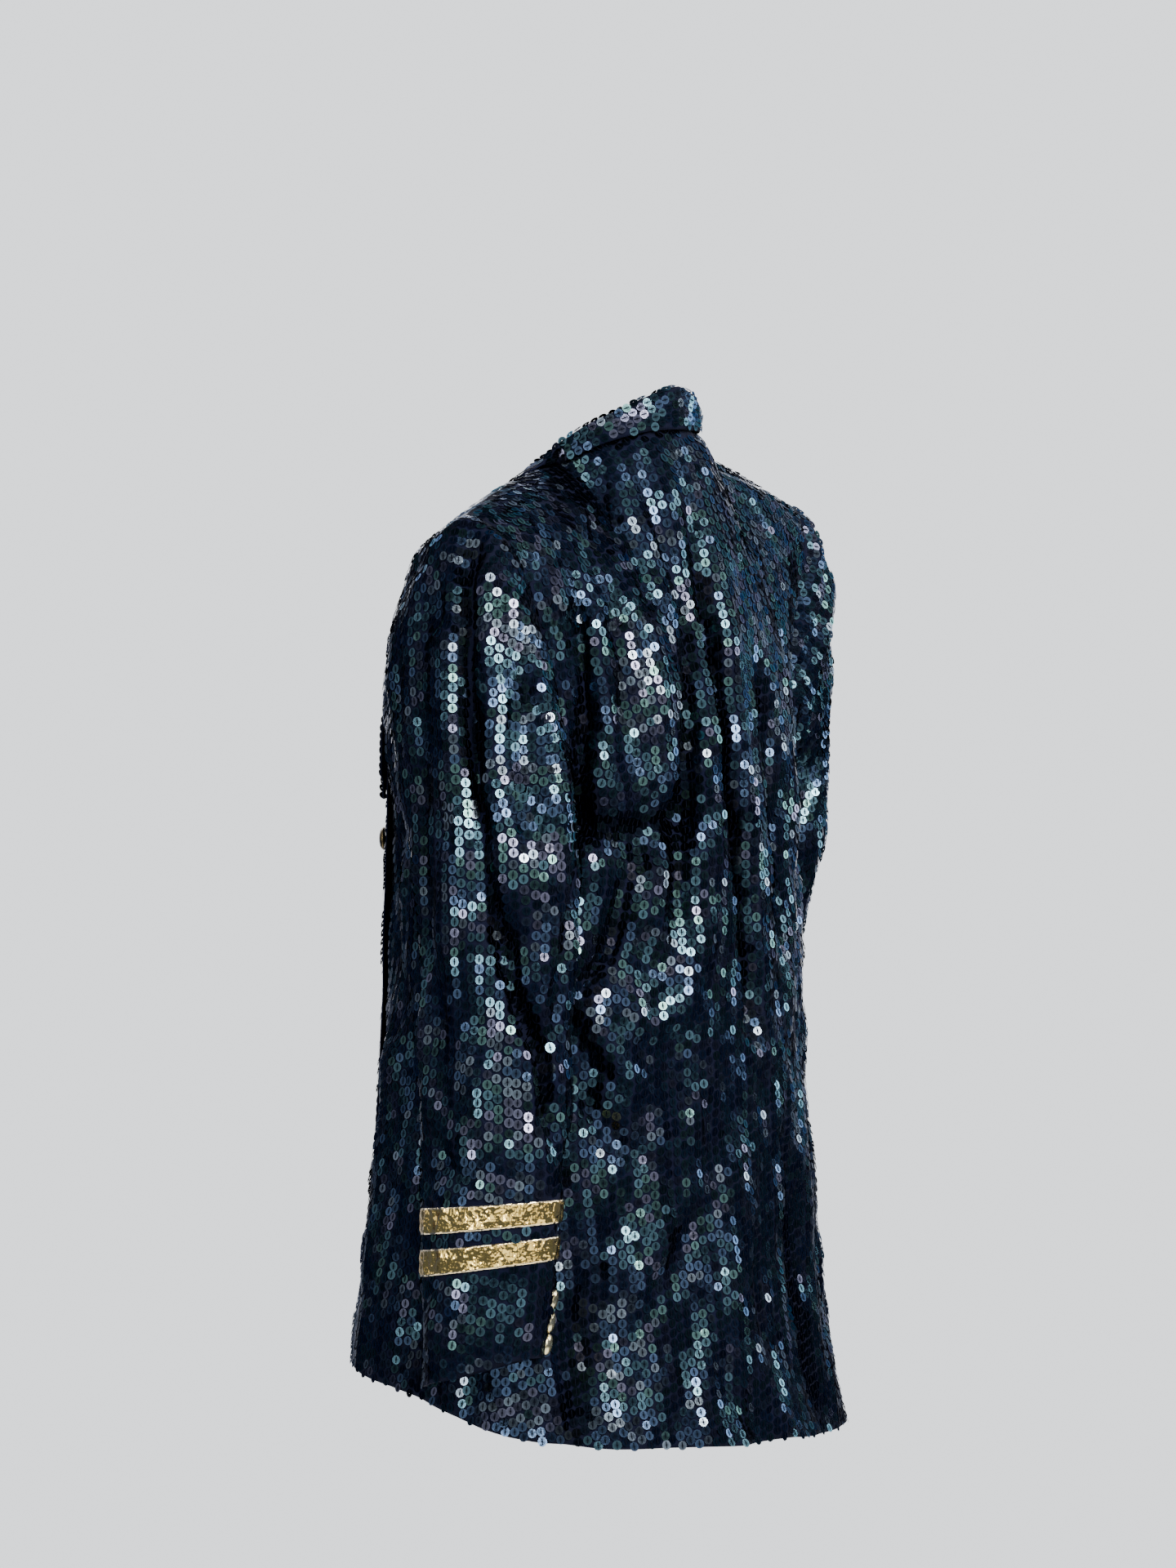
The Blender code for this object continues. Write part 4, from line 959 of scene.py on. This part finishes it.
def lay_strands(grid, line, rng):
    """Places for sequins along strands that cross a panel's rows at even spacings.

    line is where each row crosses the line that the strands are counted from, as a column.
    Returns the sequins' rows and columns in the grid.
    """
    rows, columns = grid.shape[:2]
    spans = np.linalg.norm(np.diff(grid, axis=1), axis=-1)
    across = np.concatenate((np.zeros((rows, 1)), np.cumsum(spans, axis=1)), axis=1)
    counted = np.arange(columns)
    zero = np.array([np.interp(line[r], counted, across[r]) for r in range(rows)])
    across = across - zero[:, None]
    first = int(np.floor(across.min() / STRAND_SPACING))
    last = int(np.ceil(across.max() / STRAND_SPACING))
    lines = np.arange(first, last + 1)
    wander = rng.normal(0.0, STRAND_WANDER, len(lines))
    targets = (lines + 0.5) * STRAND_SPACING + wander
    place = np.array([np.interp(targets, across[r], counted) for r in range(rows)])
    inside = targets > across[:, :1] + STRAND_MARGIN
    inside &= targets < across[:, -1:] - STRAND_MARGIN
    found_rows, found_columns = [], []
    for k in range(len(lines)):
        held = np.flatnonzero(inside[:, k])
        if len(held) < SHORTEST_STRAND:
            continue
        held = np.arange(held[0], held[-1] + 1)
        path = sample(grid, held.astype(float), place[held, k])
        run = np.linalg.norm(np.diff(path, axis=0), axis=1)
        run = np.concatenate(([0.0], np.cumsum(run)))
        start = (k % 2) * 0.5 + STRAND_START_SPREAD * rng.rand()
        start = STRAND_MARGIN + STRAND_PITCH * start
        stops = np.arange(start, run[-1] - STRAND_MARGIN, STRAND_PITCH)
        stops = stops + rng.normal(0.0, STRAND_WANDER, len(stops))
        row = np.interp(stops, run, held.astype(float))
        kept = np.interp(row, np.arange(rows), inside[:, k].astype(float)) > 0.5
        found_rows.append(row[kept])
        found_columns.append(np.interp(row, np.arange(rows), place[:, k])[kept])
    return np.concatenate(found_rows), np.concatenate(found_columns)


def strand_noise(count, rng):
    """Random values of spread 1, with neighbours on a strand much alike."""
    values = rng.normal(size=count)
    for i in range(1, count):
        values[i] = STRAND_MEMORY * values[i - 1] + (1 - STRAND_MEMORY**2) ** 0.5 * values[i]
    return values[:, None]


def painted_fold_shade(depth):
    """Painted shade: how much darker the sequins' tints are made deep in a fold, for the shade that falls
    where they turn edge on and face each other.
    """
    share = ease((depth - FOLD_SHADE_PAINT_FROM) / (FOLD_SHADE_PAINT_FULL - FOLD_SHADE_PAINT_FROM))
    return 1 - FOLD_SHADE_PAINT * share


def body_depth(grid):
    """How deep the folds and small creases press in, at each point of a body panel."""
    height, angle = grid[..., 2], body_angle(grid)
    return torso_fold(height, angle) + crease_depth(BODY_CREASES, height, angle, BODY_SCALE)


def sleeve_depth(side):
    """How deep the folds and small creases press in, at each point of a sleeve's grid."""
    turn, place = sleeve_places()
    return sleeve_fold(side, turn, place) + sleeve_creases(side, turn, place)


def tint_sequins(spots, rng):
    """A tint for each sequin, with nearby ones mostly alike."""
    across = spots[:, 0] * TINT_SLANT[0] + spots[:, 1] * TINT_SLANT[1]
    drifted = unevenness(across, spots[:, 2]) / TINT_WAVE
    pick = (0.5 + TINT_DRIFT * drifted + TINT_SCATTER * rng.normal(size=len(spots))) % 1.0
    edges = np.cumsum([tint.share for tint in TINTS])
    which = np.searchsorted(edges / edges[-1], pick)
    colours = np.array([tint.colour for tint in TINTS])[which]
    return colours * np.exp(TINT_SPREAD * rng.normal(size=(len(spots), 1)))


def tip_sequins(normal, along, rng):
    """The way each sequin faces, and the ways up and across it, tipped a little at random."""
    count = len(normal)
    along = unit(along - normal * (along * normal).sum(1, keepdims=True))
    side = np.cross(normal, along)
    nod = STRAND_NOD * strand_noise(count, rng) + rng.normal(0.0, NOD, (count, 1))
    twist = STRAND_TWIST * strand_noise(count, rng) + rng.normal(0.0, TWIST, (count, 1))
    lean, roll = np.radians(SHINGLE + nod), np.radians(twist)
    facing = unit(normal + along * np.tan(lean) + side * np.tan(roll))
    up = unit(along - facing * (along * facing).sum(1, keepdims=True))
    return facing, up, np.cross(facing, up)


def sequin_points(centre, facing, up, side, rng):
    """The points of each sequin's rim, of its hole, and of the stitch over it."""
    turns = 2 * np.pi * np.arange(SEQUIN_SIDES) / SEQUIN_SIDES
    ring = np.cos(turns)[None, :, None] * up[:, None] + np.sin(turns)[None, :, None] * side[:, None]
    size = SEQUIN_RADIUS * (1 + SIZE_SPREAD * rng.normal(size=(len(centre), 1, 1)))
    rim = centre[:, None] + ring * size
    hole = centre[:, None] + ring * SEQUIN_HOLE
    half = side[:, None] * THREAD_WIDTH / 2
    lifted = (centre + facing * THREAD_LIFT)[:, None]
    ends = lifted + up[:, None] * np.array(THREAD_REACH)[None, :, None] * size
    low, high = ends[:, :1], ends[:, 1:]
    return np.concatenate((rim, hole, low - half, low + half, high + half, high - half), axis=1)


def sequin_quads(count):
    """The faces of all sequins: each one's ring, and then its stitch."""
    i = np.arange(SEQUIN_SIDES)
    j = (i + 1) % SEQUIN_SIDES
    ring = np.stack((i, j, j + SEQUIN_SIDES, i + SEQUIN_SIDES), axis=1)
    stitch = 2 * SEQUIN_SIDES + np.arange(4)[None, :]
    first = np.arange(count) * SEQUIN_POINTS
    return (np.concatenate((ring, stitch))[None] + first[:, None, None]).reshape(-1, 4)


def paint(mesh, colours):
    """Gives each point of a mesh its tint."""
    tint = mesh.color_attributes.new("tint", "FLOAT_COLOR", "POINT")
    tint.data.foreach_set("color", colours.reshape(-1))


def add_sequins(name, grid, out, line, materials, rng, depth=None, keep=None, cover=None):
    """Sews sequins on a panel's face and returns the joined piece.

    line is where each row crosses the line that the strands are counted from, depth how deep the
    folds are, which darkens the sequins' tints there as painted shade, keep a test for the places
    that get sequins, and cover the points of what lies on the panel.
    """
    rows, columns = lay_strands(grid, line, rng)
    if keep is not None:
        kept = keep(rows / (grid.shape[0] - 1), columns / (grid.shape[1] - 1))
        rows, columns = rows[kept], columns[kept]
    centre = sample(grid, rows, columns)
    normal = unit(sample(out * grid_normals(grid), rows, columns))
    along = unit(sample(np.gradient(grid, axis=0), rows, columns))
    depth = np.zeros(grid.shape[:2]) if depth is None else depth
    # Painted shade: sequins deep in the folds get darker tints
    fold_shade = painted_fold_shade(sample(depth[..., None], rows, columns))
    if cover is not None:
        bare = [not covered(c, n, cover) for c, n in zip(centre, normal)]
        centre, normal, along, fold_shade = centre[bare], normal[bare], along[bare], fold_shade[bare]
    count = len(centre)
    facing, up, side = tip_sequins(normal, along, rng)
    centre = centre + normal * SEQUIN_LIFT
    spots = sequin_points(centre, facing, up, side, rng)
    mesh = quad_mesh(name, spots, sequin_quads(count))
    slot = np.tile(np.append(np.zeros(SEQUIN_SIDES, int), 1), count)
    mesh.polygons.foreach_set("material_index", slot)
    # Painted light on each sequin: a painted highlight at its rim and painted shade towards its hole
    shade = np.repeat((RIM_PAINTED_HIGHLIGHT, HOLE_PAINTED_SHADE, 1.0), (SEQUIN_SIDES, SEQUIN_SIDES, 4))
    colours = np.ones((count, SEQUIN_POINTS, 4))
    colours[..., :3] = (tint_sequins(centre, rng) * fold_shade)[:, None, :] * shade[None, :, None]
    paint(mesh, colours)
    return add_piece(name, mesh, materials)


def covered(spot, normal, cover):
    """True where another piece lies on the cloth at this spot."""
    for other, _, _ in cover.find_range(Vector(spot), COVER_REACH):
        if (other - Vector(spot)).dot(Vector(normal)) > COVER_LIFT:
            return True
    return False


def point_tree(*grids):
    """A search tree of the points of what lies on a panel."""
    spots = np.concatenate([grid.reshape(-1, 3) for grid in grids])
    tree = KDTree(len(spots))
    for i, spot in enumerate(spots):
        tree.insert(Vector(spot), i)
    tree.balance()
    return tree


def plane_column(grid, x):
    """Where each row of a panel crosses the upright plane at x, as a column."""
    columns = np.arange(grid.shape[1])
    found = []
    for row in grid[..., 0]:
        order = np.argsort(row)
        found.append(np.interp(x, row[order], columns[order]))
    return np.array(found)


def new_material(name):
    """A new material with its nodes and links."""
    material = bpy.data.materials.new(name)
    material.use_nodes = True
    return material, material.node_tree.nodes, material.node_tree.links


def add_bump(nodes, links, height, strength, distance):
    """Makes a height bend the shader's normals."""
    bump = nodes.new("ShaderNodeBump")
    bump.inputs["Strength"].default_value = strength
    bump.inputs["Distance"].default_value = distance
    links.new(height, bump.inputs["Height"])
    links.new(bump.outputs["Normal"], nodes["Principled BSDF"].inputs["Normal"])


def add_noise(nodes, links, scale, detail):
    """Noise on the object's own places."""
    place = nodes.new("ShaderNodeTexCoord")
    noise = nodes.new("ShaderNodeTexNoise")
    noise.inputs["Scale"].default_value = scale
    noise.inputs["Detail"].default_value = detail
    links.new(place.outputs["Object"], noise.inputs["Vector"])
    return noise.outputs["Fac"]


def add_ramp(nodes, links, value, stops):
    """Colours along a value: stops are (place, colour) pairs."""
    ramp = nodes.new("ShaderNodeValToRGB")
    while len(ramp.color_ramp.elements) < len(stops):
        ramp.color_ramp.elements.new(0.5)
    for element, (place, colour) in zip(ramp.color_ramp.elements, stops):
        element.position = place
        element.color = (*colour, 1.0)
    links.new(value, ramp.inputs["Fac"])
    return ramp.outputs["Color"]


def film_material(name, wear_scale, roughness):
    """Glossy metal film that a mesh tints point by point, with its nodes and links."""
    material, nodes, links = new_material(name)
    shader = nodes["Principled BSDF"]
    tint = nodes.new("ShaderNodeAttribute")
    tint.attribute_name = "tint"
    links.new(tint.outputs["Color"], shader.inputs["Base Color"])
    shader.inputs["Metallic"].default_value = 1.0
    rough = nodes.new("ShaderNodeMapRange")
    rough.inputs["To Min"].default_value = roughness[0]
    rough.inputs["To Max"].default_value = roughness[1]
    links.new(add_noise(nodes, links, scale=wear_scale, detail=2.0), rough.inputs["Value"])
    links.new(rough.outputs["Result"], shader.inputs["Roughness"])
    return material, nodes, links


def sequin_material():
    """Film that is dark until it catches a light."""
    material, nodes, links = film_material("sequin_film", 420.0, SEQUIN_ROUGHNESS)
    nodes["Principled BSDF"].inputs["Specular Tint"].default_value = SEQUIN_SHEEN
    dents = add_noise(nodes, links, scale=260.0, detail=1.0)
    add_bump(nodes, links, dents, strength=0.25, distance=0.0004)
    return material


def ground_material():
    """The dark woven ground that the sequins are sewn on."""
    material, nodes, links = new_material("navy_ground")
    shader = nodes["Principled BSDF"]
    patchy = add_noise(nodes, links, scale=60.0, detail=3.0)
    links.new(add_ramp(nodes, links, patchy, GROUND_COLOURS), shader.inputs["Base Color"])
    shader.inputs["Roughness"].default_value = 0.85
    shader.inputs["Specular IOR Level"].default_value = 0.1
    add_bump(nodes, links, add_weave(nodes, links), strength=0.5, distance=0.0003)
    return material


def add_weave(nodes, links):
    """Fine crossed threads."""
    place = nodes.new("ShaderNodeTexCoord")
    threads = []
    for direction in ("X", "Z"):
        wave = nodes.new("ShaderNodeTexWave")
        wave.bands_direction = direction
        wave.inputs["Scale"].default_value = 260.0
        wave.inputs["Distortion"].default_value = 0.6
        links.new(place.outputs["Object"], wave.inputs["Vector"])
        threads.append(wave.outputs["Fac"])
    both = nodes.new("ShaderNodeMath")
    both.operation = "MULTIPLY"
    links.new(threads[0], both.inputs[0])
    links.new(threads[1], both.inputs[1])
    return both.outputs["Value"]


def thread_material():
    """The dark thread of the stitches."""
    material, nodes, links = new_material("navy_thread")
    shader = nodes["Principled BSDF"]
    fibres = add_noise(nodes, links, scale=900.0, detail=1.0)
    links.new(add_ramp(nodes, links, fibres, THREAD_COLOURS), shader.inputs["Base Color"])
    shader.inputs["Roughness"].default_value = 0.8
    shader.inputs["Specular IOR Level"].default_value = 0.05
    return material


def lame_material():
    """Crinkled gold ribbon."""
    material, nodes, links = film_material("gold_lame_ribbon", 700.0, RIBBON_ROUGHNESS)
    crinkles = add_noise(nodes, links, scale=58.0, detail=3.2)
    add_bump(nodes, links, crinkles, strength=0.75, distance=0.0090)
    return material


def button_material(metal):
    """Slightly worn gold metal; the front buttons' darkened gold is painted shade."""
    material, nodes, links = new_material(metal.name)
    shader = nodes["Principled BSDF"]
    worn = add_noise(nodes, links, scale=300.0, detail=3.0)
    stops = tuple(zip(WORN_PLACES, (metal.dark, metal.light)))
    links.new(add_ramp(nodes, links, worn, stops), shader.inputs["Base Color"])
    shader.inputs["Metallic"].default_value = 1.0
    shader.inputs["Roughness"].default_value = metal.roughness
    scratches = add_noise(nodes, links, scale=900.0, detail=2.0)
    add_bump(nodes, links, scratches, strength=0.15, distance=0.0002)
    return material


def ribbon_crinkle(turn, width):
    """How far the ribbon's crinkles stand out."""
    coarse = CRINKLE.depth * np.sin(2 * np.pi * (CRINKLE.count * turn + CRINKLE.slant * width))
    coarse = coarse * np.sin(2 * np.pi * (CRINKLE_GROUPS * turn - CRINKLE_GROUP_SHIFT))
    sway = FINE_SWAY * np.sin(FINE_SWAY_RATE * turn)
    fine = np.sin(2 * np.pi * (FINE_CRINKLE.count * turn + FINE_CRINKLE.slant * width + sway))
    return coarse + FINE_CRINKLE.depth * fine


def add_stripe(name, side, top, material):
    """A crinkled ribbon round a sleeve, paler along its edges."""
    turn = np.arange(STRIPE_TURNS)[None, :] / STRIPE_TURNS
    width = np.linspace(0.0, 1.0, STRIPE_ROWS + 1)[:, None]
    base = sleeve_point(side, turn, 1 - (top - STRIPE_WIDTH * width) / SLEEVE_LENGTH)
    closed = np.concatenate((base[:, -1:], base, base[:, :1]), axis=1)
    normal = -side * grid_normals(closed)[:, 1:-1]
    inset = np.minimum(width, 1 - width) * 2
    lift = STRIPE_RISE + ribbon_crinkle(turn, width) * ease(EDGE_CALM * inset)
    grid = base + normal * lift[..., None]
    mesh = quad_mesh(name + "_ribbon", grid, grid_quads(STRIPE_ROWS + 1, STRIPE_TURNS, True))
    if side > 0:
        mesh.flip_normals()
    mesh.shade_smooth()
    inner = ease(EDGE_SHARPNESS * inset)[..., None] + 0 * turn[..., None]
    paint(mesh, mix(np.array(RIBBON_EDGE), np.array(RIBBON_GOLD), inner))
    piece = add_piece(name + "_ribbon", mesh, [material])
    thicken(piece, RIBBON)
    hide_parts(name)


def add_button(node, radius, material, inside):
    """A domed metal button with a fine rim, turned on its CAD node's own axis."""
    low, high = (np.array(corner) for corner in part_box(node))
    verts = np.array([v.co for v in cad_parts[node].data.vertices])
    centre = verts.mean(axis=0)
    axis = np.linalg.svd(verts - centre)[2][-1]
    outer = (low + high) / 2 - np.array(inside)
    if np.dot(axis, outer * np.array((1.0, 1.0, 0.0))) < 0:
        axis = -axis
    foot = centre + axis * ((verts - centre) @ axis).min()
    turns = 2 * np.pi * np.arange(BUTTON_TURNS) / BUTTON_TURNS
    reach, height = (np.array(BUTTON_PROFILE) * radius).T[:, :, None, None]
    ring = points(np.cos(turns), np.sin(turns), 0.0)
    grid = reach * ring[None] + height * np.array((0.0, 0.0, 1.0))
    mesh = quad_mesh(node + "_metal", grid, grid_quads(len(BUTTON_PROFILE), BUTTON_TURNS, True))
    turn = Vector(axis).to_track_quat("Z", "Y").to_matrix().to_4x4()
    turn.translation = Vector(foot)
    mesh.transform(turn)
    mesh.shade_smooth()
    piece = add_piece(node + "_metal", mesh, [material])
    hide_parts(node)


def add_lamp(lamp):
    """A soft lamp that lights the garment and isn't seen itself."""
    data = bpy.data.lights.new(lamp.name, "AREA")
    data.shape = "RECTANGLE"
    data.size, data.size_y = lamp.width, lamp.height
    data.energy = lamp.glow * np.pi * lamp.width * lamp.height
    data.color = lamp.colour
    light = bpy.data.objects.new(lamp.name, data)
    azimuth, elevation = np.radians(lamp.azimuth), np.radians(lamp.elevation)
    level = np.cos(elevation)
    away = Vector((np.sin(azimuth) * level, np.cos(azimuth) * level, np.sin(elevation)))
    target = Vector(LAMP_TARGET)
    light.location = target + away * lamp.distance
    light.rotation_mode = "QUATERNION"
    light.rotation_quaternion = (-away).to_track_quat("-Z", "Y")
    light.visible_camera = False
    bpy.context.scene.collection.objects.link(light)


def add_stage():
    """A pale floor under the standing height of the wearer, and an even pale surround."""
    bpy.ops.mesh.primitive_circle_add(
        vertices=FLOOR_SIDES, radius=FLOOR_RADIUS, fill_type="NGON", location=(0, 0, FLOOR_HEIGHT)
    )
    floor = bpy.context.object
    floor.name = "floor"
    material, nodes, links = new_material("pale_floor")
    shader = nodes["Principled BSDF"]
    speckle = add_noise(nodes, links, scale=30.0, detail=3.0)
    links.new(add_ramp(nodes, links, speckle, FLOOR_COLOURS), shader.inputs["Base Color"])
    shader.inputs["Roughness"].default_value = 0.7
    floor.data.materials.append(material)
    world = bpy.data.worlds.new("surround")
    bpy.context.scene.world = world
    world.use_nodes = True
    nodes, links = world.node_tree.nodes, world.node_tree.links
    backdrop = nodes.new("ShaderNodeBackground")
    backdrop.inputs["Color"].default_value = BACKDROP_COLOUR
    backdrop.inputs["Strength"].default_value = BACKDROP_GLOW
    room = nodes["Background"]
    room.inputs["Color"].default_value = ROOM_COLOUR
    room.inputs["Strength"].default_value = ROOM_GLOW
    ray = nodes.new("ShaderNodeLightPath")
    choose = nodes.new("ShaderNodeMixShader")
    links.new(ray.outputs["Is Camera Ray"], choose.inputs["Fac"])
    links.new(room.outputs["Background"], choose.inputs[1])
    links.new(backdrop.outputs["Background"], choose.inputs[2])
    links.new(choose.outputs["Shader"], nodes["World Output"].inputs["Surface"])


def add_camera():
    """The photograph's view, from behind and to the wearer's left."""
    turn, pitch = np.radians(VIEW_TURN), np.radians(VIEW_PITCH)
    back = np.array((np.sin(turn), np.cos(turn), 0.0))
    right = np.array((-np.cos(turn), np.sin(turn), 0.0))
    data = bpy.data.cameras.new("camera")
    data.lens = LENS_MM
    data.sensor_width = SENSOR_MM
    camera = bpy.data.objects.new("camera", data)
    place = back * VIEW_DISTANCE + np.array((0.0, 0.0, VIEW_HEIGHT)) - right * VIEW_ASIDE
    camera.location = Vector(place)
    ahead = -back * np.cos(pitch) - np.array((0.0, 0.0, np.sin(pitch)))
    camera.rotation_mode = "QUATERNION"
    camera.rotation_quaternion = Vector(ahead).to_track_quat("-Z", "Y")
    bpy.context.scene.collection.objects.link(camera)
    bpy.context.scene.camera = camera


def add_panel(node, grid, out, line, looks, rng, turned=False, **sewing):
    """A panel's cloth and sequins, and what they stand for.

    The strands cross the grid's rows, or its columns where it is turned.
    """
    cloth = add_cloth(node + "_cloth", grid, out, looks.ground, node.startswith("sleeve"))
    if turned:
        grid, out = np.swapaxes(grid, 0, 1), -out
    sequins = add_sequins(node + "_sequins", grid, out, line, looks.sewn, rng, **sewing)
    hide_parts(node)


def not_under_overlap(grid):
    """A test for the places of the left front that the right front doesn't hide."""
    rows, columns = grid.shape[0] - 1, grid.shape[1] - 1
    x = lambda row, column: sample(grid, row * rows, column * columns)[:, 0]
    return lambda row, column: (x(row, column) > HIDDEN_X) | (row > HIDDEN_UP)


Looks = namedtuple("Looks", "ground sewn")


def dress():
    """Builds the cloth panels and sews on their sequins."""
    looks = Looks(ground_material(), [sequin_material(), thread_material()])
    rng = np.random.RandomState(SEED)
    collar, closed_front = collar_grid(), front_grid(-1)
    back = back_grid()
    line, over = plane_column(back, 0.0), point_tree(collar)
    add_panel("back", back, -1, line, looks, rng, depth=body_depth(back), cover=over)
    add_panel("collar", collar, 1, np.zeros(collar.shape[1]), looks, rng, turned=True)
    for side, hand in SIDES:
        grid, lapel = front_grid(side), lapel_grid(side)
        over = point_tree(collar, lapel)
        seen = over_lapel = None
        if side > 0:
            over = point_tree(collar, lapel, closed_front)
            over_lapel = point_tree(closed_front)
            seen = not_under_overlap(grid)
        line, depth = plane_column(grid, side * FRONT_STRAND_X), body_depth(grid)
        add_panel("front_" + hand, grid, -side, line, looks, rng, depth=depth, keep=seen, cover=over)
        line = np.zeros(lapel.shape[0])
        add_panel("lapel_" + hand, lapel, side, line, looks, rng, cover=over_lapel)
        grid, depth = sleeve_grid(side), sleeve_depth(side)
        line = np.full(grid.shape[0], (grid.shape[1] - 1) / 2)
        add_panel("sleeve_" + hand, grid, side, line, looks, rng, depth=depth, keep=beside_stripes)


def beside_stripes(row, column):
    """True where no stripe covers the sleeve."""
    bare = np.ones(len(row), bool)
    for top in STRIPE_TOPS.values():
        high = (top + STRIPE_MARGIN) / SLEEVE_LENGTH
        low = (top - STRIPE_WIDTH - STRIPE_MARGIN) / SLEEVE_LENGTH
        bare &= (row < low) | (row > high)
    return bare


def trim():
    """Builds the stripes and buttons."""
    lame, pale, dark = lame_material(), button_material(PALE_GOLD), button_material(SHADED_GOLD)
    for side, hand in SIDES:
        for which, top in STRIPE_TOPS.items():
            add_stripe("stripe_" + hand + "_" + which, side, top, lame)
        for number in "123":
            node = "cuff_button_" + hand + "_" + number
            add_button(node, CUFF_BUTTON_RADIUS, pale, BUTTON_INSIDE[hand])
        # The front buttons get gold darkened as painted shade
        add_button("front_button_" + hand, FRONT_BUTTON_RADIUS, dark, BUTTON_INSIDE["body"])


dress()
trim()
add_stage()
for lamp in LAMPS:
    add_lamp(lamp)
add_camera()
